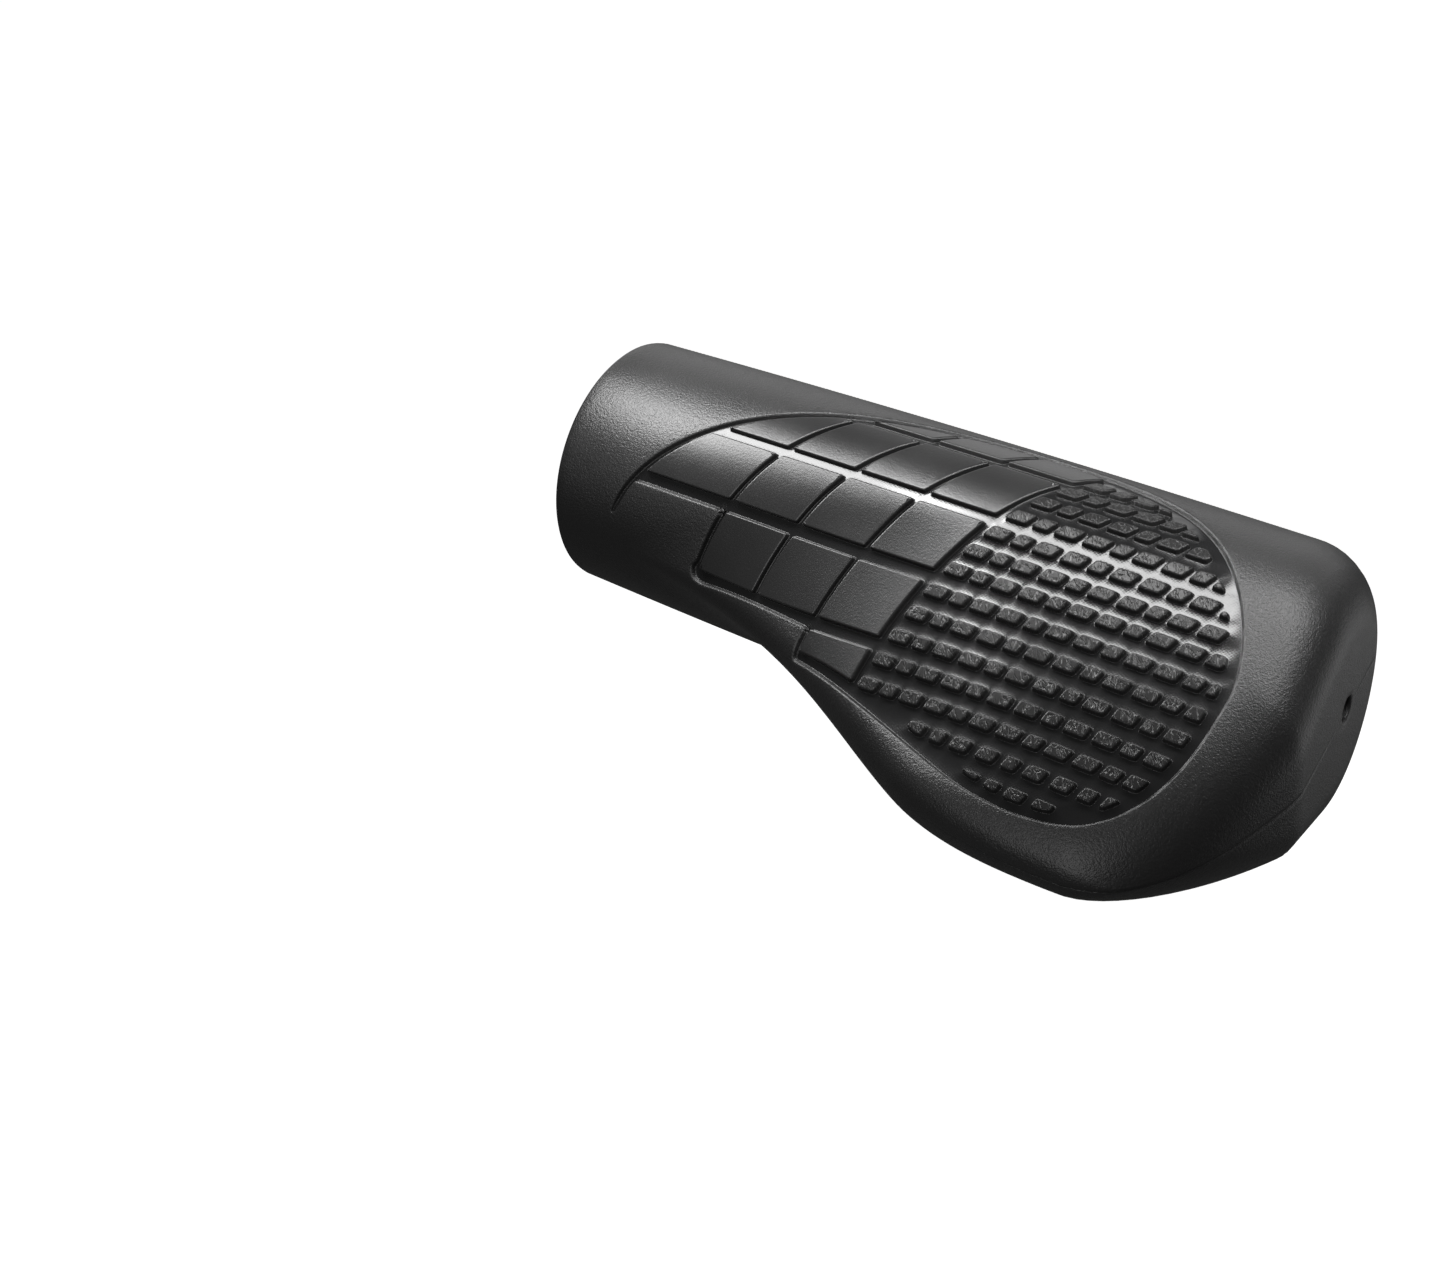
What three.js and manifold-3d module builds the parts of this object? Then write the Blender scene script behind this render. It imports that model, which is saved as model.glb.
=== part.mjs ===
// A bicycle handlebar grip with a palm wing, moulded in one piece of black rubber.
// Millimetres. X runs outboard along the bar from the inboard rim, Y points forward and Z up.
// The palm wing reaches back toward -Y, and the tread panel lies on top of it.

import * as THREE from 'three';
import { mergeVertices } from 'three/addons/utils/BufferGeometryUtils.js';
import Module from 'manifold-3d';

// Body
const AXIS_LENGTH = 105.8;      // inboard rim to outboard end, on the bar's axis
const END_LEAN = 0.137;         // how far the end moves out for each mm toward the wing
const END_ROUND = 8;            // round between the end and the outside
const RIM_RADIUS = 16.5;        // outside radius at the inboard rim
const OUTBOARD_GROWTH = 1.3;    // gain of that radius by the outboard end
const BELLY = 0.55;             // gain of that radius at mid length
const RIM_CHAMFER = 0.6;

// Palm wing, seen from above
const WING_START_X = 3;         // where its edge leaves the round of the bar
const WING_FULL_BACK = 14.8;    // outboard end, on the axis, back to where its edge is furthest back
const WING_REACH = 44.7;        // axis to the rear edge
const WING_EASE_IN = 0.54;      // share of the flare taken by each end of its curve
const WING_EASE_OUT = 0.35;
const WING_EDGE_RADIUS = 4.25;  // half the thickness of the rear edge
const CORNER_OVERHANG = 3;      // how far the rear corner's curve aims past AXIS_LENGTH
const CORNER_TOP_Y = -7.5;      // where that curve would run straight forward
const CORNER_EASE_SIDE = 0.66;
const CORNER_EASE_END = 0.33;

// Bore
const BORE_DIAMETER = 22.2;
const END_WALL = 4.5;           // rubber between the blind end of the bore and the outboard end
const VENT_DIAMETER = 3.2;

// Tread panel. A place on it is x along the bar and v around the body, which is the girth
// from the crest toward the wing, measured at FAN_X
const FAN_X = 60;
const FAN_RATE = 0.001;         // the rows fan out by this share for each mm outboard
const PANEL_DEPTH = 1;
const TAIL_DEPTH = 0.8;
const PANEL_TAIL_X = 9.6;       // inboard tip of the tail groove
const PANEL_TAIL_V = 22.6;
const PANEL_END_GAP = 6.05;     // panel to the outboard end, on the axis
const PANEL_CREST_V = -8.85;    // forward limit of the panel
const PANEL_EDGE_GAP = 6.9;     // panel to the middle of the wing's rear edge
const PANEL_CREST_BACK = 38.6;  // outboard limit of the panel back to its foremost point
const PANEL_FOOT_BACK = 16.4;   // and back to its rearmost point
const PANEL_WIDEST_V = 18.3;
const PANEL_HEEL_GAP = 1.34;    // and from that edge to the panel's stepped inboard corner
const PANEL_MARGIN = 1.6;       // floor left bare between the panel's wall and the tread
const TAIL_GROOVE = 0.8;        // width of the groove that the panel's edge narrows to
const TAIL_NARROW_X = 28;       // where the margin has become that groove
const TAIL_WIDEN_X = 55;        // and where it has its full width
const TAIL_TIP_SHARE = 0.45;    // width of the groove at its tip, as a share of TAIL_GROOVE
const TAIL_TAPER = 1.1;         // v over which it gains the rest

// Handles of the curves that make the panel's outline, as shares of each curve's run in x and v
const TAIL_HANDLES = [[0.064, 0.474], [0.452, 0]];
const CREST_HANDLES = [[0.785, 0], [0, 0.206]];
const FOOT_HANDLES = [[0, 0.293], [1.018, 0]];
const HEEL_HANDLES = [[0.24, 0], [0.303, 0.056]];

// Rows of small blocks, and tiles that are three rows high
const FIRST_ROW_V = -3.95;
const CREST_ROW_PITCH = 3.08;   // over the round of the bar
const CREST_ROWS = 6;
const WING_ROW_PITCH = 3.43;    // over the flat of the wing
const ROW_HEIGHT = 1.7;
const ROWS_PER_TILE = 3;
const FIELD_EDGE_BACK = 43.85;  // outboard limit of the panel back to the tiles' last joint
const JOINT_BEND = 0.0093;      // the joints follow a parabola about JOINT_VERTEX_V
const JOINT_VERTEX_V = 33;
const JOINT_WIDTH = 0.8;
const TILE_PITCH = 10.05;
const TILE_SPREAD = 0.022;      // gain of that pitch for each mm of v
const BLOCK_START = 0.8;        // last joint to the first block
const BLOCKS = [[0, 2.9], [3.7, 2.2], [6.7, 2.95]];  // place and width in each repeat
const BLOCK_REPEAT = 10.55;
const BLOCK_WIDEST_V = 15;      // where the repeat is longest
const BLOCK_EASE = 0.000085;    // share that it loses for each square mm of v away from there
const LEAST_TREAD = 0.5;        // slivers narrower than this are left out
const WALL_DRAFT = 0.12;        // how much wider a block is at the floor
const TREAD_SUNK = 0.4;         // depth to which tread stock runs into the floor before joining
const CLEAR_ABOVE = 1.5;        // height to which cutting stock stands above the body

// Fineness of the faces
const PLAN_STEPS = 40;          // points on the plan outline's rear edge
const CORNER_STEPS = 24;        // and on its rear corner
const STATIONS = 20;            // rings along the bar
const END_STATIONS = 11;        // rings that close the end
const END_CROWDING = 1.25;      // power that crowds them toward the outside
const SIDE_STEPS = 14;          // faces from the crest to the rear edge
const SIDE_CROWDING = 1.4;      // power that crowds them toward that edge
const FRONT_STEPS = 11;
const BORE_SIDES = 32;
const VENT_SIDES = 12;
const CURVE_STEPS = 12;         // points on each curve of the panel's outline
const PANEL_STEP = 3.4;         // most v between the rows of faces on the panel's floor
const PANEL_COLUMNS = [8, 7, 7, 6];
const CREST_ROWS_AT = [0, 0.25, 0.9];  // first of those rows, where the outline runs along the bar
const HEEL_STEP = 2.2;          // most v between them beside the heel's curve
const TAIL_STEP = 1.2;          // and along the tail groove
const TREAD_STEP = 2.4;         // most v between the rows of faces on a tile
const TREAD_STRIDE = 6;         // most x between the columns
const LEAST_LEVEL = 0.3;        // least space between the rows of faces along an outline
const OVERLAP = 0.5;            // of one panel band and the next
const TRIM = 0.05;              // step in which a block is shortened at the tread's outline
const HALVINGS = 30;
const SLOPE_STEP = 0.05;

const wasm = await Module();
wasm.setup();

const lerp = THREE.MathUtils.lerp;
const clamp = THREE.MathUtils.clamp;

// Plan outline of the wing's rear edge and of its outboard corner
const wingFullX = AXIS_LENGTH - WING_FULL_BACK;
const rearEdge = new THREE.CubicBezierCurve(
  new THREE.Vector2(WING_START_X, -RIM_RADIUS),
  new THREE.Vector2(lerp(WING_START_X, wingFullX, WING_EASE_IN), -RIM_RADIUS),
  new THREE.Vector2(lerp(wingFullX, WING_START_X, WING_EASE_OUT), -WING_REACH),
  new THREE.Vector2(wingFullX, -WING_REACH),
).getPoints(PLAN_STEPS);

const cornerX = AXIS_LENGTH + CORNER_OVERHANG;
const rearCorner = new THREE.CubicBezierCurve(
  new THREE.Vector2(wingFullX, -WING_REACH),
  new THREE.Vector2(lerp(wingFullX, cornerX, CORNER_EASE_SIDE), -WING_REACH),
  new THREE.Vector2(cornerX, lerp(CORNER_TOP_Y, -WING_REACH, CORNER_EASE_END)),
  new THREE.Vector2(cornerX, CORNER_TOP_Y),
).getPoints(CORNER_STEPS);

// Each side of the plan at the outboard end, as a normal and an offset
const endSides = rearCorner.slice(1).map((point, i) => {
  const along = point.clone().sub(rearCorner[i]).normalize();
  const normal = new THREE.Vector2(along.y, -along.x);
  return { normal, offset: normal.dot(point) };
});
const endNormal = new THREE.Vector2(1, END_LEAN).normalize();
endSides.push({ normal: endNormal, offset: endNormal.x * AXIS_LENGTH });

// Value of the other coordinate where a run of points crosses a given one
function crossing(points, key, value) {
  const other = key === 'x' ? 'y' : 'x';
  for (let i = 1; i < points.length; i += 1) {
    const a = points[i - 1];
    const b = points[i];
    if (value >= Math.min(a[key], b[key]) && value <= Math.max(a[key], b[key])) {
      const share = b[key] === a[key] ? 0 : (value - a[key]) / (b[key] - a[key]);
      return lerp(a[other], b[other], share);
    }
  }
  return null;
}

function rearY(x) {
  if (x <= WING_START_X) return -RIM_RADIUS;
  return x >= wingFullX ? -WING_REACH : crossing(rearEdge, 'x', x);
}

// Section across the bar: the bar's round and the wing's thin edge, joined by two tangents
function section(x) {
  const share = clamp(x / cornerX, 0, 1);
  const radius = RIM_RADIUS + OUTBOARD_GROWTH * share + BELLY * 4 * share * (1 - share);
  const reach = Math.max(-rearY(x) - WING_EDGE_RADIUS, 1e-6);
  const sine = clamp((radius - WING_EDGE_RADIUS) / reach, -1, 0.9999);
  const cosine = Math.sqrt(1 - sine * sine);
  const plain = reach <= radius - WING_EDGE_RADIUS;
  const tangentAngle = plain ? Math.PI / 2 : Math.asin(sine);
  const flat = plain ? 0 : cosine * reach;
  const girth = radius * tangentAngle + flat + WING_EDGE_RADIUS * (Math.PI / 2 - tangentAngle);
  return { radius, reach, sine, cosine, plain, tangentAngle, flat, girth };
}

// Point of the section at a girth from the crest, positive toward the wing
function sectionPoint(s, girth) {
  const arc = s.radius * s.tangentAngle;
  if (girth < arc || s.plain) {
    const angle = girth / s.radius;
    return new THREE.Vector2(-s.radius * Math.sin(angle), s.radius * Math.cos(angle));
  }
  if (girth < arc + s.flat) {
    const run = girth - arc;
    return new THREE.Vector2(
      -(s.radius * s.sine + s.cosine * run), s.radius * s.cosine - s.sine * run);
  }
  const angle = s.tangentAngle + (girth - arc - s.flat) / WING_EDGE_RADIUS;
  return new THREE.Vector2(
    -(s.reach + WING_EDGE_RADIUS * Math.sin(angle)), WING_EDGE_RADIUS * Math.cos(angle));
}

// Distance from the section's outline, negative inside
function sectionField(x, y, z) {
  const s = section(x);
  const back = -y;
  const up = Math.abs(z);
  if (s.plain) return Math.hypot(back, up) - s.radius;
  const along = back * s.cosine - up * s.sine;
  if (along < 0) return Math.hypot(back, up) - s.radius;
  if (along > s.cosine * s.reach) return Math.hypot(back - s.reach, up) - WING_EDGE_RADIUS;
  return up * s.cosine + back * s.sine - s.radius;
}

// The section meets the plan of the outboard end in a round of END_ROUND
function bodyField(point) {
  const side = sectionField(point.x, point.y, point.z);
  let end = -Infinity;
  for (const { normal, offset } of endSides) {
    end = Math.max(end, normal.x * point.x + normal.y * point.y - offset);
  }
  const round = Math.hypot(Math.max(side + END_ROUND, 0), Math.max(end + END_ROUND, 0));
  return Math.min(Math.max(side, end), -END_ROUND) + round;
}

function spine(x) {
  return new THREE.Vector3(x, (rearY(x) + RIM_RADIUS) / 2, 0);
}

// Where a ray from the spine leaves the body
function leave(from, direction) {
  let inside = 0;
  let outside = 2 * WING_REACH + AXIS_LENGTH;
  for (let i = 0; i < HALVINGS; i += 1) {
    const middle = (inside + outside) / 2;
    if (bodyField(from.clone().addScaledVector(direction, middle)) < 0) inside = middle;
    else outside = middle;
  }
  return from.clone().addScaledVector(direction, inside);
}

function fan(x) {
  return 1 + FAN_RATE * (x - FAN_X);
}

// Point at a height above the body, at x along the bar and v around it
function onBody(x, v, height) {
  const target = sectionPoint(section(x), v * fan(x));
  const from = spine(x);
  const direction = new THREE.Vector3(0, target.x - from.y, target.y).normalize();
  const point = leave(from, direction);
  const slope = (dx, dy, dz) => (
    bodyField(point.clone().add(new THREE.Vector3(dx, dy, dz)))
    - bodyField(point.clone().sub(new THREE.Vector3(dx, dy, dz)))
  );
  const normal = new THREE.Vector3(
    slope(SLOPE_STEP, 0, 0), slope(0, SLOPE_STEP, 0), slope(0, 0, SLOPE_STEP));
  return point.addScaledVector(normal.normalize(), height);
}

// A solid from triangles, turned to face out
function solid(geometry) {
  const bare = geometry.clone();
  bare.deleteAttribute('normal');
  bare.deleteAttribute('uv');
  const merged = mergeVertices(bare, 1e-5);
  const vertProperties = new Float32Array(merged.attributes.position.array);
  const triVerts = new Uint32Array(merged.index.array);
  let volume = 0;
  const corner = (i) => new THREE.Vector3().fromArray(vertProperties, 3 * triVerts[i]);
  for (let i = 0; i < triVerts.length; i += 3) {
    volume += corner(i).dot(corner(i + 1).cross(corner(i + 2)));
  }
  if (volume < 0) {
    for (let i = 0; i < triVerts.length; i += 3) {
      [triVerts[i], triVerts[i + 1]] = [triVerts[i + 1], triVerts[i]];
    }
  }
  return new wasm.Manifold(new wasm.Mesh({ numProp: 3, vertProperties, triVerts }));
}

function geometryOf(positions, triangles) {
  const geometry = new THREE.BufferGeometry();
  geometry.setAttribute('position', new THREE.Float32BufferAttribute(positions, 3));
  geometry.setIndex(triangles);
  return geometry;
}

// Body before the bore and the panel are cut: rings along the bar, then rings that turn
// about the last one to close the rounded end
function bodySolid() {
  const turnX = cornerX - 2 * END_ROUND;
  const rings = [];
  const spread = (x) => {
    const s = section(x);
    const outline = [];
    for (let i = 0; i <= SIDE_STEPS; i += 1) {
      outline.push(sectionPoint(s, s.girth * (1 - (1 - i / SIDE_STEPS) ** SIDE_CROWDING)));
    }
    for (let i = SIDE_STEPS - 1; i >= 0; i -= 1) {
      outline.push(new THREE.Vector2(outline[i].x, -outline[i].y));
    }
    for (let i = 1; i < FRONT_STEPS; i += 1) {
      const angle = Math.PI * (i / FRONT_STEPS - 0.5);
      outline.push(new THREE.Vector2(s.radius * Math.cos(angle), s.radius * Math.sin(angle)));
    }
    const from = spine(x);
    return outline.map((p) => new THREE.Vector3(0, p.x - from.y, p.y).normalize());
  };
  const stations = [0, RIM_CHAMFER];
  for (let i = 1; i <= STATIONS; i += 1) stations.push(lerp(RIM_CHAMFER, turnX, i / STATIONS));
  for (const x of stations) {
    const inset = Math.max(RIM_CHAMFER - x, 0);
    rings.push(spread(x).map((d) => leave(spine(x), d).addScaledVector(d, -inset)));
  }
  const last = spread(turnX);
  for (let i = 1; i < END_STATIONS; i += 1) {
    const angle = (Math.PI / 2) * (i / END_STATIONS) ** END_CROWDING;
    rings.push(last.map((d) => leave(spine(turnX),
      new THREE.Vector3(Math.sin(angle), d.y * Math.cos(angle), d.z * Math.cos(angle)))));
  }
  const count = last.length;
  const points = rings.flat();
  const capStart = points.length;
  points.push(spine(0), leave(spine(turnX), new THREE.Vector3(1, 0, 0)));
  const triangles = [];
  for (let j = 0; j < count; j += 1) {
    const next = (j + 1) % count;
    for (let i = 0; i + 1 < rings.length; i += 1) {
      const a = i * count;
      const b = a + count;
      triangles.push(a + j, b + j, a + next, a + next, b + j, b + next);
    }
    const end = (rings.length - 1) * count;
    triangles.push(capStart, j, next, capStart + 1, end + next, end + j);
  }
  return solid(geometryOf(points.flatMap((p) => p.toArray()), triangles));
}

// A slab that follows the body between two heights. Its rows run along the bar, each from
// left(v) to right(v), and the lower face is wider by the draft
function slab({ rows, columns, left, right, low, high, draft = 0 }) {
  const first = rows[0];
  const last = rows[rows.length - 1];
  const grid = (height, grow) => rows.map((v) => {
    const edge = v === first ? -grow : 0;
    const level = v + (v === last ? grow : edge);
    const points = [];
    for (let i = 0; i <= columns; i += 1) {
      const x = lerp(left(v) - grow, right(v) + grow, i / columns);
      points.push(onBody(x, level, height));
    }
    return points;
  });
  const upper = grid(high, 0).flat();
  const lower = grid(low, draft).flat();
  const width = columns + 1;
  const below = upper.length;
  const triangles = [];
  const quad = (a, b, c, d) => triangles.push(a, b, c, a, c, d);
  for (let j = 0; j + 1 < rows.length; j += 1) {
    for (let i = 0; i < columns; i += 1) {
      const a = j * width + i;
      quad(a, a + 1, a + width + 1, a + width);
      quad(below + a, below + a + width, below + a + width + 1, below + a + 1);
    }
    const start = j * width;
    const stop = start + columns;
    quad(start, start + width, below + start + width, below + start);
    quad(stop, below + stop, below + stop + width, stop + width);
  }
  for (let i = 0; i < columns; i += 1) {
    const foot = (rows.length - 1) * width + i;
    quad(i, below + i, below + i + 1, i + 1);
    quad(foot, foot + 1, below + foot + 1, below + foot);
  }
  return solid(geometryOf([...upper, ...lower].flatMap((p) => p.toArray()), triangles));
}

// Outline of the panel, in x and v
const panelRight = AXIS_LENGTH - PANEL_END_GAP;
const crestX = panelRight - PANEL_CREST_BACK;
const footX = panelRight - PANEL_FOOT_BACK;
const footV = section(footX).girth / fan(footX) - PANEL_EDGE_GAP;
const fieldEdgeX = panelRight - FIELD_EDGE_BACK;

function jointX(index, v) {
  const last = fieldEdgeX + JOINT_BEND * (JOINT_VERTEX_V - v) ** 2;
  return last - index * (TILE_PITCH + TILE_SPREAD * v);
}

// The heel, at the foot of the first joint inboard of the last one, keeps clear of the wing's edge
const heelJointX = jointX(1, JOINT_VERTEX_V);
const heelV = section(heelJointX).girth / fan(heelJointX) - PANEL_HEEL_GAP;

// Curve between two points whose handles go the given shares of the way to the other end
function curve(start, end, [startShare, endShare], steps = CURVE_STEPS) {
  const toward = (from, to, share) => from.map((value, i) => lerp(value, to[i], share[i]));
  const handles = [toward(start, end, startShare), toward(end, start, endShare)];
  const points = [start, ...handles, end].map(([x, v]) => new THREE.Vector2(x, v));
  return new THREE.CubicBezierCurve(...points).getPoints(steps);
}

const tail = [PANEL_TAIL_X, PANEL_TAIL_V];
const crest = [crestX, PANEL_CREST_V];
const widest = [panelRight, PANEL_WIDEST_V];
const foot = [footX, footV];
const heel = [jointX(1, heelV), heelV];
const tailEdge = curve(tail, crest, TAIL_HANDLES, 2 * CURVE_STEPS);
const outerEdge = [
  ...curve(crest, widest, CREST_HANDLES), ...curve(widest, foot, FOOT_HANDLES).slice(1)];
const heelEdge = curve(foot, heel, HEEL_HANDLES);

// An edge moved in from the panel's wall, by the groove's width near the tail
function inset(points) {
  return points.map((p, i) => {
    const ahead = points[Math.min(i + 1, points.length - 1)];
    const behind = points[Math.max(i - 1, 0)];
    const along = ahead.clone().sub(behind).normalize();
    const widen = THREE.MathUtils.smoothstep(p.x, TAIL_NARROW_X, TAIL_WIDEN_X);
    const margin = lerp(TAIL_GROOVE, PANEL_MARGIN, widen);
    return new THREE.Vector2(p.x - along.y * margin, p.y + along.x * margin);
  });
}
const tailClip = inset(tailEdge);
const outerClip = inset(outerEdge);
const heelClip = inset(heelEdge).reverse();  // from the heel's corner, so that its row comes first

const rowCentre = (row) => FIRST_ROW_V
  + CREST_ROW_PITCH * Math.min(row, CREST_ROWS) + WING_ROW_PITCH * Math.max(row - CREST_ROWS, 0);
const rowTop = (row) => rowCentre(row) - ROW_HEIGHT / 2;
const rowFoot = (row) => rowCentre(row) + ROW_HEIGHT / 2;

// Tile bands: rows 0, 1 to 3, 4 to 6 and so on. Inboard of the third joint the panel ends
// above the fourth band, and inboard of the first joint above the fifth
const lowerBandTop = rowTop(2 * ROWS_PER_TILE + 1);
const heelBandTop = rowTop(3 * ROWS_PER_TILE + 1);

// Rows of a slab from one v to another, among them the points of an outline that runs between
function levels(from, to, pitch, outline = []) {
  const rows = [from, to];
  for (const { y } of outline) {
    if (y > from && y < to && rows.every((v) => Math.abs(v - y) > LEAST_LEVEL)) rows.push(y);
  }
  rows.sort((a, b) => a - b);
  return rows.flatMap((v, i) => {
    if (i === 0) return [v];
    const count = Math.max(Math.ceil((v - rows[i - 1]) / pitch), 1);
    return Array.from({ length: count }, (_, k) => lerp(rows[i - 1], v, (k + 1) / count));
  });
}

// Stock cut away for the panel's floor, in bands that each start inside the one before
function panelSolids() {
  const top = PANEL_CREST_V + TRIM;
  const right = (v) => crossing(outerEdge, 'y', v);
  const jointSide = (index) => (v) => jointX(index, v) - JOINT_WIDTH / 2;
  const close = CREST_ROWS_AT.slice(0, -1);
  const wide = CREST_ROWS_AT[CREST_ROWS_AT.length - 1];
  const bands = [
    {
      rows: [...close.map((v) => top + v), ...levels(top + wide, lowerBandTop, PANEL_STEP)],
      left: (v) => crossing(tailEdge, 'y', v),
    },
    { rows: levels(lowerBandTop - OVERLAP, heelBandTop, PANEL_STEP), left: jointSide(3) },
    { rows: levels(heelBandTop - OVERLAP, heelV, PANEL_STEP), left: jointSide(1) },
    {
      rows: levels(heelV - OVERLAP, footV - TRIM, HEEL_STEP, [...heelEdge].reverse()),
      left: (v) => (v < heelV ? jointSide(1)(v) : crossing(heelEdge, 'y', v)),
    },
  ];
  return bands.map(({ rows, left }, i) => slab({
    rows, columns: PANEL_COLUMNS[i], left, right, low: -PANEL_DEPTH, high: CLEAR_ABOVE,
  }));
}

// Tail groove, from the foot of the tail's tile to its tip, growing narrow at the tip
function tailSolid() {
  const rows = levels(lowerBandTop - ROW_HEIGHT / 2, PANEL_TAIL_V - TRIM, TAIL_STEP);
  const left = (v) => crossing(tailEdge, 'y', v);
  const widened = (v) => Math.min(1, (PANEL_TAIL_V - v) / TAIL_TAPER);
  const right = (v) => left(v) + TAIL_GROOVE * lerp(TAIL_TIP_SHARE, 1, widened(v));
  return slab({ rows, columns: 1, left, right, low: -TAIL_DEPTH, high: CLEAR_ABOVE });
}

// Stock of a block or a tile between two edges, clipped to the tread's outline
function tread(rowStart, rowEnd, leftOf, rightOf) {
  const clip = rowStart < PANEL_WIDEST_V ? tailClip : heelClip;
  const left = (v) => Math.max(leftOf(v), crossing(clip, 'y', v) ?? -Infinity);
  const right = (v) => Math.min(rightOf(v), crossing(outerClip, 'y', v) ?? -Infinity);
  const room = (v) => right(v) - left(v);
  let from = Math.max(rowStart, PANEL_CREST_V + PANEL_MARGIN + TRIM);
  let to = Math.min(rowEnd, footV - PANEL_MARGIN - TRIM);
  while (from < to && room(from) < LEAST_TREAD) from += TRIM;
  while (from < to && room(to) < LEAST_TREAD) to -= TRIM;
  if (to - from < LEAST_TREAD) return null;
  return slab({
    rows: levels(from, to, TREAD_STEP, [...clip, ...outerClip]),
    columns: Math.max(1, Math.round(room((from + to) / 2) / TREAD_STRIDE)),
    left,
    right,
    low: -PANEL_DEPTH - TREAD_SUNK,
    high: 0,
    draft: WALL_DRAFT,
  });
}

function blockSolids() {
  const blocks = [];
  const stretch = (v) => 1 - BLOCK_EASE * (v - BLOCK_WIDEST_V) ** 2;
  for (let row = 0; rowTop(row) < footV; row += 1) {
    for (let start = 0; fieldEdgeX + start < panelRight; start += BLOCK_REPEAT) {
      for (const [place, width] of BLOCKS) {
        const edge = (along) => (v) => jointX(0, v) + BLOCK_START + along * stretch(v);
        const sides = [edge(start + place), edge(start + place + width)];
        blocks.push(tread(rowTop(row), rowFoot(row), ...sides));
      }
    }
  }
  return blocks.filter((block) => block !== null);
}

// Tiles in each band: the first row alone, then three rows to a band. The bands that lie
// within the tail's curve end in a tile that reaches out to it
function tileSolids() {
  const bands = [
    { first: 0, last: 0, joints: 2, tail: true },
    { first: 1, last: 3, joints: 3, tail: true },
    { first: 4, last: 6, joints: 3, tail: true },
    { first: 7, last: 9, joints: 3, tail: false },
    { first: 10, last: 12, joints: 1, tail: false },
  ];
  const tiles = [];
  for (const { first, last, joints, tail } of bands) {
    const top = first === 0 ? PANEL_CREST_V : rowTop(first);
    for (let index = 0; index < joints + (tail ? 1 : 0); index += 1) {
      const leftOf = (v) => (
        index === joints ? PANEL_TAIL_X : jointX(index + 1, v) + JOINT_WIDTH / 2
      );
      const rightOf = (v) => jointX(index, v) - JOINT_WIDTH / 2;
      tiles.push(tread(top, rowFoot(last), leftOf, rightOf));
    }
  }
  return tiles.filter((tile) => tile !== null);
}

// A round bar of stock along X
function roundStock(diameter, fromX, toX, sides) {
  const geometry = new THREE.CylinderGeometry(diameter / 2, diameter / 2, toX - fromX, sides);
  geometry.rotateZ(Math.PI / 2);
  geometry.translate((fromX + toX) / 2, 0, 0);
  return solid(geometry);
}

function meshOf(name, shape, material) {
  const { vertProperties, triVerts } = shape.getMesh();
  const geometry = geometryOf(Array.from(vertProperties), Array.from(triVerts));
  geometry.computeVertexNormals();
  const mesh = new THREE.Mesh(geometry, material);
  mesh.name = name;
  return mesh;
}

function gripSolid() {
  let grip = bodySolid();
  for (const cutter of [...panelSolids(), tailSolid()]) grip = grip.subtract(cutter);
  for (const raised of [...tileSolids(), ...blockSolids()]) grip = grip.add(raised);
  grip = grip.subtract(roundStock(BORE_DIAMETER, -1, AXIS_LENGTH - END_WALL, BORE_SIDES));
  return grip.subtract(roundStock(VENT_DIAMETER, AXIS_LENGTH / 2, cornerX + 1, VENT_SIDES));
}

const rubber = new THREE.MeshStandardMaterial({ color: 0x1b1b1c, roughness: 0.62, metalness: 0 });

const grip = new THREE.Group();
grip.add(meshOf('grip', gripSolid(), rubber));

export default grip;
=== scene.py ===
"""A bicycle handlebar grip with a palm wing, moulded in one piece of black rubber.

The body follows a formula: a section across the bar that grows a thin wing, and a rounded end.
The tread panel is drawn flat, on a plan with x along the bar and v around it from the crest
toward the wing. Geometry nodes then sink the panel, raise its tiles and blocks, and wrap the
plan on the body. Lengths are millimetres, and metres once a mesh or a node tree is made.
"""

import logging
import math
from collections.abc import Callable
from dataclasses import dataclass, field
from enum import Enum
from typing import Any

import bmesh
import bpy
import numpy as np
from mathutils import Matrix, Vector
from mathutils.geometry import delaunay_2d_cdt


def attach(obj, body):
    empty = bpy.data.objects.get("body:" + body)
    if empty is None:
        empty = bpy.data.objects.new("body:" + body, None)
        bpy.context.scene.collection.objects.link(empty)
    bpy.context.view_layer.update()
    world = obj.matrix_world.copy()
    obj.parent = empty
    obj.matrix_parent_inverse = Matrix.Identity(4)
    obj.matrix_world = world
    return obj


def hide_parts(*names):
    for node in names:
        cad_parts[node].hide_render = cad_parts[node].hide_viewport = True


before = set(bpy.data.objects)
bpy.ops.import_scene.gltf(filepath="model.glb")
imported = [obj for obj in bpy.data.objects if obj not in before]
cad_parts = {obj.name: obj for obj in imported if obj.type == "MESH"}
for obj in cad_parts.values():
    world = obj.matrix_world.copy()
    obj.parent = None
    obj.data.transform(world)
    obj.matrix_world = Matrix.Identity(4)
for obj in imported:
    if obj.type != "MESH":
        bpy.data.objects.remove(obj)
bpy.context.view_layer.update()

log = logging.getLogger("grip")

MM = 0.001
PLAN_SPAN = 128.0     # length of plan that one unit of the UV map covers
PLAN_LIFT = 32.0      # added to v, so that the whole plan has positive UV values
FINE_STEP = 0.06      # spacing of the points that an outline is smoothed on
FAR = 1e6             # stand-in for a side that an edge doesn't reach
WELD = 0.05           # points of the shell and of the sheet this near are one

Points = np.ndarray
Side = Callable[[np.ndarray], np.ndarray]


def smoothstep(value: Any, low: float, high: float) -> Any:
    """Return 0 below low, 1 above high, and an eased share between them."""
    share = np.clip((value - low) / (high - low), 0.0, 1.0)
    return share * share * (3.0 - 2.0 * share)


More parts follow.
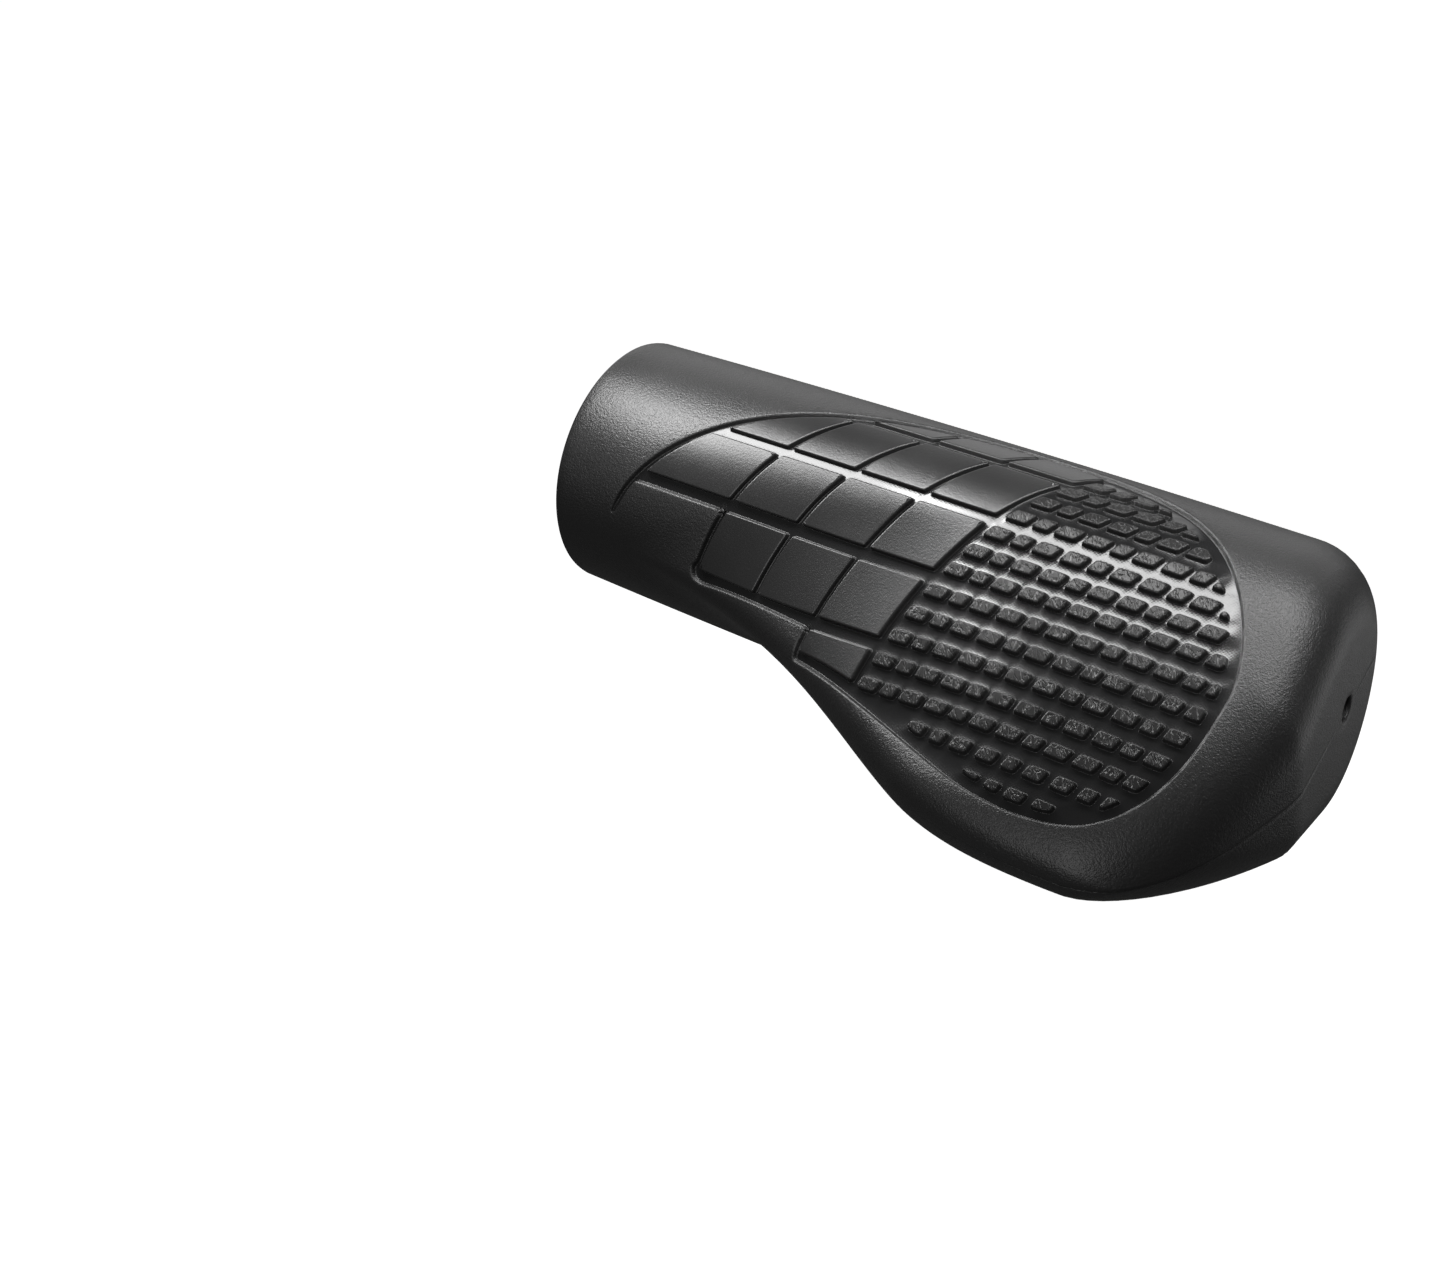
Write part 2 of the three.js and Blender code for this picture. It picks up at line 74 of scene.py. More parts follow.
def bezier(points: list[tuple[float, float]], steps: int) -> Points:
    """Sample a cubic Bezier curve.

    Args:
        points: Its four control points.
        steps: Number of spans.

    Returns:
        The steps + 1 points on it.
    """
    a, b, c, d = (np.array(p, float) for p in points)
    t = np.linspace(0.0, 1.0, steps + 1)[:, None]
    return a * (1 - t) ** 3 + 3 * b * t * (1 - t) ** 2 + 3 * c * t * t * (1 - t) + d * t ** 3


def curve(start: tuple, end: tuple, shares: tuple, steps: int = 24) -> Points:
    """Sample a curve whose handles go the given shares of the way to its other end.

    Args:
        start: First point.
        end: Last point.
        shares: For each end, the shares of the run in x and in v.
        steps: Number of spans.

    Returns:
        The points on the curve.
    """
    toward = [[p + (q - p) * s for p, q, s in zip(a, b, share)]
              for a, b, share in ((start, end, shares[0]), (end, start, shares[1]))]
    return bezier([start, *toward, end], steps)


def linked(name: str, data: Any) -> Any:
    """Make an object of a mesh, lamp or camera, and link it to the scene."""
    made = bpy.data.objects.new(name, data)
    bpy.context.scene.collection.objects.link(made)
    return made


@dataclass
class BodyForm:
    """Outer form of the grip, before the panel and the bore."""

    axis_length: float = 105.8
    end_lean: float = 0.137
    end_round: float = 8.0
    rim_radius: float = 16.5
    outboard_growth: float = 1.3
    belly: float = 0.55
    wing_start_x: float = 3.0
    wing_full_back: float = 14.8
    wing_reach: float = 44.7
    wing_ease_in: float = 0.54
    wing_ease_out: float = 0.35
    wing_edge_radius: float = 4.25
    corner_overhang: float = 3.0
    corner_top_y: float = -7.5
    corner_ease_side: float = 0.66
    corner_ease_end: float = 0.33
    fan_x: float = 60.0
    fan_rate: float = 0.001
    steepest_sine: float = 0.9999
    least_reach: float = 1e-6
    halvings: int = 28
    slope_step: float = 0.05

    def __post_init__(self) -> None:
        """Work out the plan outline of the wing and of the end."""
        full = self.axis_length - self.wing_full_back
        start, rim, reach = self.wing_start_x, -self.rim_radius, -self.wing_reach
        self.corner_x = self.axis_length + self.corner_overhang
        self.rear_edge = bezier([
            (start, rim), (start + (full - start) * self.wing_ease_in, rim),
            (full + (start - full) * self.wing_ease_out, reach), (full, reach)], steps=80)
        side_x = full + (self.corner_x - full) * self.corner_ease_side
        end_y = self.corner_top_y + (reach - self.corner_top_y) * self.corner_ease_end
        corner = bezier([
            (full, reach), (side_x, reach), (self.corner_x, end_y),
            (self.corner_x, self.corner_top_y)], steps=48)
        along = np.diff(corner, axis=0)
        along /= np.linalg.norm(along, axis=1)[:, None]
        normals = np.column_stack([along[:, 1], -along[:, 0]])
        lean = np.array([1.0, self.end_lean]) / math.hypot(1.0, self.end_lean)
        self.side_normals = np.vstack([normals, lean])
        self.side_offsets = np.append(
            (normals * corner[1:]).sum(axis=1), lean[0] * self.axis_length)

    def rear_y(self, x: Points) -> Points:
        """Return y of the wing's rear edge at x."""
        return np.interp(x, self.rear_edge[:, 0], self.rear_edge[:, 1])

    def section(self, x: Points) -> dict[str, Points]:
        """Return the sizes of the section across the bar at x."""
        share = np.clip(x / self.corner_x, 0.0, 1.0)
        swell = self.outboard_growth * share + self.belly * 4.0 * share * (1.0 - share)
        radius = self.rim_radius + swell
        edge = self.wing_edge_radius
        reach = np.maximum(-self.rear_y(x) - edge, self.least_reach)
        plain = reach <= radius - edge
        sine = np.clip((radius - edge) / reach, -1.0, self.steepest_sine)
        cosine = np.sqrt(1.0 - sine * sine)
        tangent = np.where(plain, math.pi / 2, np.arcsin(sine))
        flat = np.where(plain, 0.0, cosine * reach)
        girth = radius * tangent + flat + edge * (math.pi / 2 - tangent)
        return {"radius": radius, "reach": reach, "sine": sine, "cosine": cosine,
                "plain": plain, "tangent": tangent, "flat": flat, "girth": girth}

    def section_point(self, s: dict[str, Points], girth: Points) -> Points:
        """Return y and z on the section at a girth from the crest, positive toward the wing."""
        edge = self.wing_edge_radius
        arc = s["radius"] * s["tangent"]
        angle = girth / s["radius"]
        on_bar = np.stack([-s["radius"] * np.sin(angle), s["radius"] * np.cos(angle)], -1)
        run = girth - arc
        on_flat = np.stack([
            -(s["radius"] * s["sine"] + s["cosine"] * run),
            s["radius"] * s["cosine"] - s["sine"] * run], -1)
        turn = s["tangent"] + (run - s["flat"]) / edge
        on_edge = np.stack([-(s["reach"] + edge * np.sin(turn)), edge * np.cos(turn)], -1)
        bar = (girth < arc) | s["plain"]
        flat = girth < arc + s["flat"]
        return np.where(bar[..., None], on_bar, np.where(flat[..., None], on_flat, on_edge))

    def depth(self, points: Points) -> Points:
        """Return the field of the body at points, negative inside."""
        x, y, z = points[:, 0], points[:, 1], points[:, 2]
        s = self.section(x)
        back, up = -y, np.abs(z)
        along = back * s["cosine"] - up * s["sine"]
        bar = np.hypot(back, up) - s["radius"]
        edge = np.hypot(back - s["reach"], up) - self.wing_edge_radius
        flat = up * s["cosine"] + back * s["sine"] - s["radius"]
        side = np.where(along > s["cosine"] * s["reach"], edge, flat)
        side = np.where(s["plain"] | (along < 0), bar, side)
        end = (points[:, :2] @ self.side_normals.T - self.side_offsets).max(axis=1)
        q = self.end_round
        round_part = np.hypot(np.maximum(side + q, 0.0), np.maximum(end + q, 0.0))
        return np.minimum(np.maximum(side, end), -q) + round_part

    def normal(self, points: Points) -> Points:
        """Return the outward unit normals of the body at points."""
        slopes = []
        for axis in np.eye(3) * self.slope_step:
            slopes.append(self.depth(points + axis) - self.depth(points - axis))
        slope = np.stack(slopes, -1)
        return slope / np.linalg.norm(slope, axis=1)[:, None]

    def spine(self, x: Points) -> Points:
        """Return the middle of the section at x, from which rays are cast."""
        middle = (self.rear_y(x) + self.rim_radius) / 2.0
        return np.stack([x, middle, np.zeros_like(x)], -1)

    def leave(self, origins: Points, directions: Points) -> Points:
        """Return where rays from inside the body leave it."""
        inside = np.zeros(len(origins))
        outside = np.full(len(origins), self.axis_length)
        for _ in range(self.halvings):
            middle = (inside + outside) / 2.0
            within = self.depth(origins + directions * middle[:, None]) < 0.0
            inside = np.where(within, middle, inside)
            outside = np.where(within, outside, middle)
        return origins + directions * inside[:, None]

    def fan(self, x: Points) -> Points:
        """Return the girth that one unit of v covers at x."""
        return 1.0 + self.fan_rate * (x - self.fan_x)

    def on_girth(self, x: Points, girth: Points) -> Points:
        """Return the points of the body at x and at a girth from the crest."""
        target = self.section_point(self.section(x), girth)
        origins = self.spine(x)
        directions = np.stack([np.zeros_like(x), target[:, 0] - origins[:, 1], target[:, 1]], -1)
        directions /= np.linalg.norm(directions, axis=1)[:, None]
        return self.leave(origins, directions)


@dataclass
class Outline:
    """A closed outline on the plan, with its outward directions."""

    points: Points
    out: Points

    @classmethod
    def soft(cls, corners: Points, softness: float, turn_deg: float, step: float) -> "Outline":
        """Round the corners of a polygon and thin its points where it runs straight.

        Args:
            corners: Points of the polygon, in order.
            softness: Width of the smoothing that rounds the corners.
            turn_deg: Most turn between neighbouring points.
            step: Most distance between them.

        Returns:
            The rounded outline, anticlockwise.
        """
        ring = np.vstack([corners, corners[:1]])
        run = np.append(0.0, np.cumsum(np.linalg.norm(np.diff(ring, axis=0), axis=1)))
        count = int(run[-1] / FINE_STEP)
        at = np.arange(count) * run[-1] / count
        ring = np.column_stack([np.interp(at, run, ring[:, k]) for k in (0, 1)])
        x, v = ring.T
        if (x * np.roll(v, -1) - np.roll(x, -1) * v).sum() < 0.0:
            ring = ring[::-1]
        wave = np.fft.fftfreq(count) * 2.0 * math.pi * count / run[-1]
        damping = np.exp(-0.5 * (wave * softness) ** 2)[:, None]
        ring = np.fft.ifft(np.fft.fft(ring, axis=0) * damping, axis=0).real
        ahead = np.roll(ring, -1, axis=0) - ring
        angle = np.unwrap(np.arctan2(ahead[:, 1], ahead[:, 0]))
        turned = np.abs(np.append(angle[1:] - angle[:-1], 0.0))
        cost = turned / math.radians(turn_deg) + np.linalg.norm(ahead, axis=1) / step
        total = np.append(0.0, np.cumsum(cost))
        parts = math.ceil(total[-1])
        kept = np.searchsorted(total, np.arange(parts) * total[-1] / parts)
        kept = np.unique(np.clip(kept, 0, count - 1))
        along = np.roll(ring, -2, axis=0) - np.roll(ring, 2, axis=0)
        along /= np.linalg.norm(along, axis=1)[:, None]
        return cls(ring[kept], np.column_stack([along[:, 1], -along[:, 0]])[kept])

    def room(self) -> float:
        """Return about half of the outline's narrower width."""
        x, v = self.points.T
        doubled_area = (x * np.roll(v, -1) - np.roll(x, -1) * v).sum()
        steps = self.points - np.roll(self.points, 1, axis=0)
        return doubled_area / np.linalg.norm(steps, axis=1).sum()

    def grown(self, amount: float) -> Points:
        """Return the points moved out by an amount."""
        return self.points + self.out * amount

    def clearance(self, points: Points) -> Points:
        """Return the distance from each point to the nearest point of the outline."""
        gap = points[:, None, :] - self.points[None, :, :]
        return np.sqrt((gap ** 2).sum(axis=2).min(axis=1))

    def holds(self, points: Points) -> Points:
        """Return which points lie inside the outline."""
        a, b = self.points, np.roll(self.points, -1, axis=0)
        x, v = points[:, 0:1], points[:, 1:2]
        spans = (a[:, 1] > v) != (b[:, 1] > v)
        rise = np.where(b[:, 1] == a[:, 1], 1e-12, b[:, 1] - a[:, 1])
        hit = x < (b[:, 0] - a[:, 0]) * (v - a[:, 1]) / rise + a[:, 0]
        return (spans & hit).sum(axis=1) % 2 == 1


class Zone(Enum):
    """Kinds of surface on the plan, with the number each has as a material slot."""

    SKIN = 0
    FLOOR = 1
    TILE = 2
    BLOCK = 3


@dataclass
class TreadPlan:
    """Flat plan of the tread panel: its outline, its tiles and its rows of blocks."""

    body: BodyForm
    tail: tuple[float, float] = (9.6, 22.6)
    end_gap: float = 6.05
    crest_v: float = -8.85
    crest_back: float = 38.6
    foot_back: float = 16.4
    widest_v: float = 18.3
    edge_gap: float = 6.9
    heel_gap: float = 1.34
    margin: float = 1.6
    groove: float = 0.8
    narrow_x: float = 28.0
    widen_x: float = 55.0
    tip_share: float = 0.45
    taper: float = 1.1
    tail_handles: tuple = ((0.064, 0.474), (0.452, 0.0))
    crest_handles: tuple = ((0.785, 0.0), (0.0, 0.206))
    foot_handles: tuple = ((0.0, 0.293), (1.018, 0.0))
    heel_handles: tuple = ((0.24, 0.0), (0.303, 0.056))
    border_handles: tuple = ((-6.0, -0.5), (8.0, -0.9))
    turn_handles: tuple = ((0.4, 0.1), (-0.1, -0.9))
    corner_drop: float = 0.2
    corner_tuck: float = 0.1
    corner_round: float = 2.2
    side_points: int = 20
    groove_points: int = 30
    first_row_v: float = -3.95
    crest_pitch: float = 3.08
    crest_rows: int = 6
    wing_pitch: float = 3.43
    row_height: float = 1.7
    field_back: float = 43.85
    joint_bend: float = 0.0093
    joint_vertex_v: float = 33.0
    joint_width: float = 0.8
    tile_pitch: float = 10.05
    tile_spread: float = 0.022
    block_start: float = 0.8
    blocks: tuple = ((0.0, 2.9), (3.7, 2.2), (6.7, 2.95))
    block_repeat: float = 10.55
    block_widest_v: float = 15.0
    block_ease: float = 0.000085
    drift_v: float = 31.2
    drift: float = 0.19
    slimmest_v: float = 34.0
    slimmed: float = 0.13
    least: float = 0.5
    level: float = 0.05
    bands: tuple = ((0, 0, 2, True), (1, 3, 3, True), (4, 6, 3, True), (7, 9, 3, False),
                    (10, 12, 1, False))
    panel_softness: tuple = (0.3, 9.0, 0.8)
    tile_softness: tuple = (0.22, 16.0, 1.0)
    block_softness: tuple = (0.27, 20.0, 1.2)
    tail_right: float = 20.0
    tail_run: float = 2.0
    tail_loss: float = 0.2
    tip_run: float = 3.0
    tip_loss: float = 0.45
    outline: Outline = field(init=False)

    def __post_init__(self) -> None:
        """Work out the panel's edges from its sizes."""
        body = self.body
        self.right = body.axis_length - self.end_gap
        self.field_x = self.right - self.field_back
        crest = (self.right - self.crest_back, self.crest_v)
        foot_x = self.right - self.foot_back
        foot_girth = float(body.section(np.array(foot_x))["girth"])
        foot = (foot_x, foot_girth / float(body.fan(foot_x)) - self.edge_gap)
        joint = float(self.joint_x(1, self.joint_vertex_v))
        heel_v = float(body.section(np.array(joint))["girth"]) / body.fan(joint) - self.heel_gap
        heel = (float(self.joint_x(1, heel_v)), heel_v)
        widest = (self.right, self.widest_v)
        self.foot_v, self.heel_v = foot[1], heel_v
        self.tail_edge = curve(self.tail, crest, self.tail_handles, steps=60)
        self.outer_edge = np.vstack([
            curve(crest, widest, self.crest_handles, steps=40),
            curve(widest, foot, self.foot_handles, steps=40)[1:]])
        self.heel_edge = curve(foot, heel, self.heel_handles, steps=40)
        self.lower_top = self.row_top(7)
        self.heel_top = self.row_top(10)
        self.outline = Outline.soft(self._panel_corners(), *self.panel_softness)

    def joint_x(self, index: int, v: Any) -> Any:
        """Return x along the middle of a joint between tiles, counted inboard."""
        last = self.field_x + self.joint_bend * (self.joint_vertex_v - v) ** 2
        return last - index * (self.tile_pitch + self.tile_spread * v)

    def row_top(self, row: int) -> float:
        """Return v of the edge of a row nearest the crest."""
        near, far = min(row, self.crest_rows), max(row - self.crest_rows, 0)
        return (self.first_row_v + self.crest_pitch * near + self.wing_pitch * far
                - self.row_height / 2.0)

    def _panel_corners(self) -> Points:
        """Return the polygon of the panel and its tail groove, from the tail's tip round."""
        half = self.joint_width / 2.0
        heel_side = np.linspace(self.heel_v, self.heel_top, self.side_points)
        heel_side = np.column_stack([self.joint_x(1, heel_side) - half, heel_side])
        corner_v = self.heel_top + self.corner_drop
        corner_x = float(self.joint_x(3, corner_v)) - half
        turn_from = (corner_x + self.corner_round, corner_v - self.corner_tuck)
        (leave_x, leave_v), (meet_x, meet_v) = self.border_handles
        border = bezier([
            tuple(heel_side[-1]), (heel_side[-1, 0] + leave_x, self.heel_top + leave_v),
            (corner_x + meet_x, self.heel_top + meet_v), turn_from], steps=20)
        turn = bezier([
            turn_from, *((corner_x + x, corner_v + v) for x, v in self.turn_handles),
            (corner_x, corner_v - self.corner_round)], steps=8)
        side_v = np.linspace(corner_v - self.corner_round, self.lower_top, self.side_points)
        side = np.column_stack([self.joint_x(3, side_v) - half, side_v])
        groove_v = np.linspace(self.lower_top, self.tail[1], self.groove_points)
        widened = np.minimum(1.0, (self.tail[1] - groove_v) / self.taper)
        width = self.groove * (self.tip_share + (1.0 - self.tip_share) * widened)
        inner = np.column_stack([self.edge_x(self.tail_edge, groove_v, 0.0) + width, groove_v])
        return np.vstack([self.tail_edge, self.outer_edge[1:], self.heel_edge[1:],
                          heel_side[1:], border[1:], turn[1:], side[1:], inner])

    @staticmethod
    def edge_x(edge: Points, v: Points, outside: float) -> Points:
        """Return x where an edge crosses v, or a stand-in beyond the edge's ends."""
        order = np.argsort(edge[:, 1])
        return np.interp(v, edge[order, 1], edge[order, 0], left=outside, right=outside)

    def _inset(self, edge: Points) -> Points:
        """Return an edge moved in by the bare margin that the tread leaves beside it."""
        along = np.gradient(edge, axis=0)
        along /= np.linalg.norm(along, axis=1)[:, None]
        widen = smoothstep(edge[:, 0], self.narrow_x, self.widen_x)
        margin = self.groove + (self.margin - self.groove) * widen
        return edge + np.column_stack([-along[:, 1], along[:, 0]]) * margin[:, None]

    def _piece(self, top: float, foot: float, left_of: Side, right_of: Side) -> Points | None:
        """Clip a tile or block to the tread's outline.

        Args:
            top: v of its edge nearest the crest.
            foot: v of its other edge.
            left_of: x of its inboard side at each v.
            right_of: x of its outboard side.

        Returns:
            Its polygon, or None if nothing wide enough is left.
        """
        clip = self._inset(self.tail_edge if top < self.widest_v else self.heel_edge)
        low = max(top, self.crest_v + self.margin + self.level)
        high = min(foot, self.foot_v - self.margin - self.level)
        if high - low < self.least:
            return None
        v = np.linspace(low, high, max(int((high - low) / self.level), 2))
        left = np.maximum(left_of(v), self.edge_x(clip, v, -FAR))
        right = np.minimum(right_of(v), self.edge_x(self._inset(self.outer_edge), v, -FAR))
        kept = np.flatnonzero(right - left >= self.least)
        if len(kept) < 2 or v[kept[-1]] - v[kept[0]] < self.least:
            return None
        run = slice(kept[0], kept[-1] + 1)
        sides = [np.column_stack([side[run], v[run]]) for side in (left, right)]
        return np.vstack([sides[0], sides[1][::-1]])

    def tiles(self) -> list[Outline]:
        """Return the outlines of the tiles, band by band."""
        made = []
        half = self.joint_width / 2.0
        for first, last, joints, tail in self.bands:
            top = self.crest_v if first == 0 else self.row_top(first)
            foot = self.row_top(last) + self.row_height
            for index in range(joints + tail):
                def left(v: Points, at: int = index, count: int = joints) -> Points:
                    """Return x of the tile's inboard side, or the tail's end past the joints."""
                    if at == count:
                        return np.full_like(v, self.tail[0])
                    return self.joint_x(at + 1, v) + half

                def right(v: Points, at: int = index) -> Points:
                    """Return x of the tile's outboard side."""
                    return self.joint_x(at, v) - half

                made.append(self._piece(top, foot, left, right))
        return [Outline.soft(p, *self.tile_softness) for p in made if p is not None]

    def small_blocks(self) -> list[Outline]:
        """Return the outlines of the small blocks, row by row."""
        made = []
        row = 0
        while self.row_top(row) < self.foot_v:
            top = self.row_top(row)
            repeats = math.ceil((self.right - self.field_x) / self.block_repeat)
            for start in (self.block_repeat * k for k in range(repeats)):
                for place, full_width in self.blocks:
                    slim = smoothstep(top, self.drift_v, self.slimmest_v)
                    width = full_width * (1.0 - self.slimmed * slim)
                    sides = [self._block_side(start + place + w) for w in (0.0, width)]
                    made.append(self._piece(top, top + self.row_height, *sides))
            row += 1
        return [Outline.soft(p, *self.block_softness) for p in made if p is not None]

    def _block_side(self, along: float) -> Side:
        """Return the side of a block that starts so far from the last joint, as x at each v."""
        def side(v: Points) -> Points:
            """Return x of the side at v."""
            stretch = 1.0 - self.block_ease * (v - self.block_widest_v) ** 2
            inboard = self.drift * np.maximum(v - self.drift_v, 0.0)
            return self.joint_x(0, v) + self.block_start + along * stretch - inboard
        return side

    def sink(self, points: Points) -> Points:
        """Return the share of the panel's depth at points: less in the tail groove."""
        x, v = points.T
        below = smoothstep(v, self.lower_top, self.lower_top + self.tail_run)
        in_tail = below * (x < self.tail_right)
        off_tip = smoothstep(np.hypot(x - self.tail[0], v - self.tail[1]), 0.0, self.tip_run)
        return 1.0 - self.tail_loss * in_tail - self.tip_loss * (1.0 - off_tip)


def mesh_object(name: str, points: Points, faces: list, slots: list | None = None) -> Any:
    """Make a smooth mesh object from points in millimetres.

    Args:
        name: Name of the object and its mesh.
        points: Its vertices.
        faces: Its faces, as lists of vertex numbers.
        slots: The material slot of each face.

    Returns:
        The object, linked to the scene.
    """
    mesh = bpy.data.meshes.new(name)
    mesh.from_pydata((points * MM).tolist(), [], [list(map(int, f)) for f in faces])
    mesh.polygons.foreach_set("use_smooth", [True] * len(faces))
    if slots is not None:
        mesh.polygons.foreach_set("material_index", slots)
    mesh.update()
    return linked(name, mesh)


@dataclass
class Shell:
    """The grip's shell as one loop of rings: outside, end, vent, bore and inboard rim."""

    body: BodyForm
    rim_round: float = 0.6
    round_steps: int = 3
    last_x: float = 101.5
    pitch: float = 1.2
    top_steps: int = 60
    crowding: float = 1.4
    front_steps: int = 44
    end_steps: int = 30
    end_crowding: float = 1.7
    bore_radius: float = 11.1
    end_wall: float = 4.5
    vent_radius: float = 1.6
    vent_round: float = 0.3
    bore_chamfer: float = 0.5
    wall_fillet: float = 0.4
    wall_fillet_middle: float = 0.12
    bore_shares: tuple = (0.66, 0.33)
    seam_width: float = 0.09
    seam_depth: float = 0.11
    seam_from_x: float = 62.0
    seam_full_x: float = 96.0
    front_seam_columns: tuple = (-3.0, -1.0, 1.0, 3.0)
    sheet_from_x: float = 5.0
    sheet_front_steps: int = 10
    carrier_pitch: float = 0.4
    carrier_steps: int = 170
    carrier_lead: float = 1.0
    carrier_front_v: float = -14.0
    carrier_over: float = 0.6

    def __post_init__(self) -> None:
        """Lay out the columns that run along the bar, and cast the rings."""
        steps = np.arange(self.top_steps + 1) / self.top_steps
        self.shares = 1.0 - (1.0 - steps) ** self.crowding
        self.rings = self._cast()

    def _girths(self, x: Points) -> tuple[Points, Points]:
        """Return girths of the top columns at each x, and angles of the front columns."""
        girth = self.body.section(x)["girth"][:, None]
        top = girth * self.shares[None, :]
        top = np.hstack([top[:, :-2], girth - self.seam_width, girth])
        angles = math.pi * (np.arange(1, self.front_steps) / self.front_steps - 0.5)
        middle = self.seam_width / self.body.rim_radius
        angles = np.sort(np.append(angles, middle * np.array(self.front_seam_columns)))
        return top, angles

    def _cast(self) -> Points:
        """Cast every ring of the shell, and return them as rings of points."""
        body = self.body
        spans = round((self.last_x - self.rim_round) / self.pitch)
        self.stations = np.linspace(self.rim_round, self.last_x, spans + 1)
        x = self.stations
        top, angles = self._girths(x)
        self.top_girths = top
        section = {k: s[:, None] for k, s in body.section(x).items()}
        upper = body.section_point(section, top)
        lower = upper[:, -2::-1] * [1.0, -1.0]
        radius = section["radius"]
        front = np.stack([radius * np.cos(angles), radius * np.sin(angles)], -1)
        outline = np.concatenate([upper, lower, front], axis=1)
        self.rear_column = upper.shape[1] - 1
        self.front_column = upper.shape[1] + lower.shape[1] + len(angles) // 2
        self.front_angles = angles
        count = outline.shape[1]
        origins = np.repeat(body.spine(x), count, axis=0)
        flat = outline.reshape(-1, 2)
        rays = np.column_stack([np.zeros(len(flat)), flat[:, 0] - origins[:, 1], flat[:, 1]])
        rays /= np.linalg.norm(rays, axis=1)[:, None]
        outside = body.leave(origins, rays).reshape(len(x), count, 3)
        self.outer_from = self.round_steps
        return np.concatenate([
            self._rim(outside[0]), outside, self._end(outside[-1]), self._inside(count)])

    def _rim(self, first: Points) -> Points:
        """Return the rings of the inboard rim's round, which ends at the first outer ring."""
        made = []
        for k in range(self.round_steps):
            angle = math.pi / 2 * k / self.round_steps
            ring = first.copy()
            radius = np.hypot(first[:, 1], first[:, 2])
            inset = self.rim_round * (1.0 - math.sin(angle))
            ring[:, 0] = self.rim_round * (1.0 - math.cos(angle))
            ring[:, 1:] *= ((radius - inset) / radius)[:, None]
            made.append(ring)
        return np.array(made)

    def _seam_rows(self, ring: Points) -> Points:
        """Set the columns beside the mould seam a fixed width from it on a ring of the end."""
        for column in (self.rear_column, self.front_column):
            sign = 1.0 if column == self.rear_column else -1.0
            for side in (-1, 1):
                ring[column + side] = ring[column] + [0.0, 0.0, -sign * side * self.seam_width]
        return ring

    def _end(self, last: Points) -> Points:
        """Return the rings over the outboard end, from the last outer ring to the vent."""
        body = self.body
        axis = np.array([self.last_x, 0.0, 0.0])
        reach = np.linalg.norm(last - axis, axis=1)
        angle = np.unwrap(np.arctan2(last[:, 2], last[:, 1]))
        even = math.pi / 2 + 2.0 * math.pi * np.arange(len(last)) / len(last)
        rear = even[self.rear_column] - math.pi
        even -= rear * np.minimum(1.0, np.arange(len(last)) / self.rear_column)
        angle += 2.0 * math.pi * round((even[0] - angle[0]) / (2.0 * math.pi))
        rim = self.vent_radius + self.vent_round
        rows = []
        for k in range(1, self.end_steps + 1):
            share = (k / self.end_steps) ** self.end_crowding
            turn = angle + (even - angle) * share
            run = rim + (reach - rim) * (1.0 - share)
            row = axis + np.column_stack(
                [np.zeros(len(last)), run * np.cos(turn), run * np.sin(turn)])
            rows.append(self._seam_rows(row))
        self.even = even
        origins = np.vstack(rows)
        cast = body.leave(origins, np.tile([1.0, 0.0, 0.0], (len(origins), 1)))
        return cast.reshape(self.end_steps, len(last), 3)

    def _circle(self, x: float, radius: float) -> Points:
        """Return a ring round the bore's axis, with even columns."""
        return np.column_stack([
            np.full(len(self.even), x), radius * np.cos(self.even), radius * np.sin(self.even)])

    def _inside(self, count: int) -> Points:
        """Return the rings of the vent, the blind wall, the bore and its mouth."""
        body = self.body
        mouth = self._circle(self.last_x, self.vent_radius + self.vent_round)
        lip = body.leave(mouth, np.tile([1.0, 0.0, 0.0], (count, 1)))
        made = []
        for k in range(1, self.round_steps + 1):
            angle = math.pi / 2 * k / self.round_steps
            ring = self._circle(0.0, self.vent_radius + self.vent_round * (1 - math.sin(angle)))
            ring[:, 0] = lip[:, 0] - self.vent_round * (1.0 - math.cos(angle))
            made.append(ring)
        wall = body.axis_length - self.end_wall
        fillet, middle = self.wall_fillet, self.wall_fillet_middle
        profile = [
            (wall, self.vent_radius), (wall, self.bore_radius - fillet),
            (wall - middle, self.bore_radius - middle), (wall - fillet, self.bore_radius),
            *((wall * share, self.bore_radius) for share in self.bore_shares),
            (self.bore_chamfer, self.bore_radius), (0.0, self.bore_radius + self.bore_chamfer)]
        return np.array(made + [self._circle(x, radius) for x, radius in profile])

    def _pressed_seam(self, rings: Points) -> Points:
        """Return the rings with the mould seam pressed in along the wing's edge and the end."""
        made = rings.copy()
        body = self.body
        last = self.outer_from + len(self.stations) + self.end_steps
        for column in (self.rear_column, self.front_column):
            line = made[self.outer_from:last, column]
            depth = self.seam_depth * smoothstep(line[:, 0], self.seam_from_x, self.seam_full_x)
            line -= body.normal(line) * depth[:, None]
        return made

    def sheet_columns(self) -> tuple[int, int]:
        """Return how many columns the sheet takes before the crest, and the one it ends at."""
        return self.sheet_front_steps, self.rear_column - 1

    def border(self) -> tuple[Points, Points]:
        """Return the sheet's border on the plan, and the plan's inner points beyond it."""
        front, last = self.sheet_columns()
        first = int(np.searchsorted(self.stations, self.sheet_from_x))
        x = self.stations[first:]
        section = self.body.section(x)
        fan = self.body.fan(x)
        angles = math.pi / 2 - self.front_angles[::-1][:front]
        ahead = -angles[None, ::-1] * section["radius"][:, None]
        girths = np.hstack([ahead, self.top_girths[first:, :last + 1]])
        grid = np.stack([np.broadcast_to(x[:, None], girths.shape), girths / fan[:, None]], -1)
        ring = np.vstack([grid[:, 0], grid[-1, 1:], grid[-2::-1, -1], grid[0, -2:0:-1]])
        self.first_station = first
        return ring, grid[1:-1, 1:-1].reshape(-1, 2)

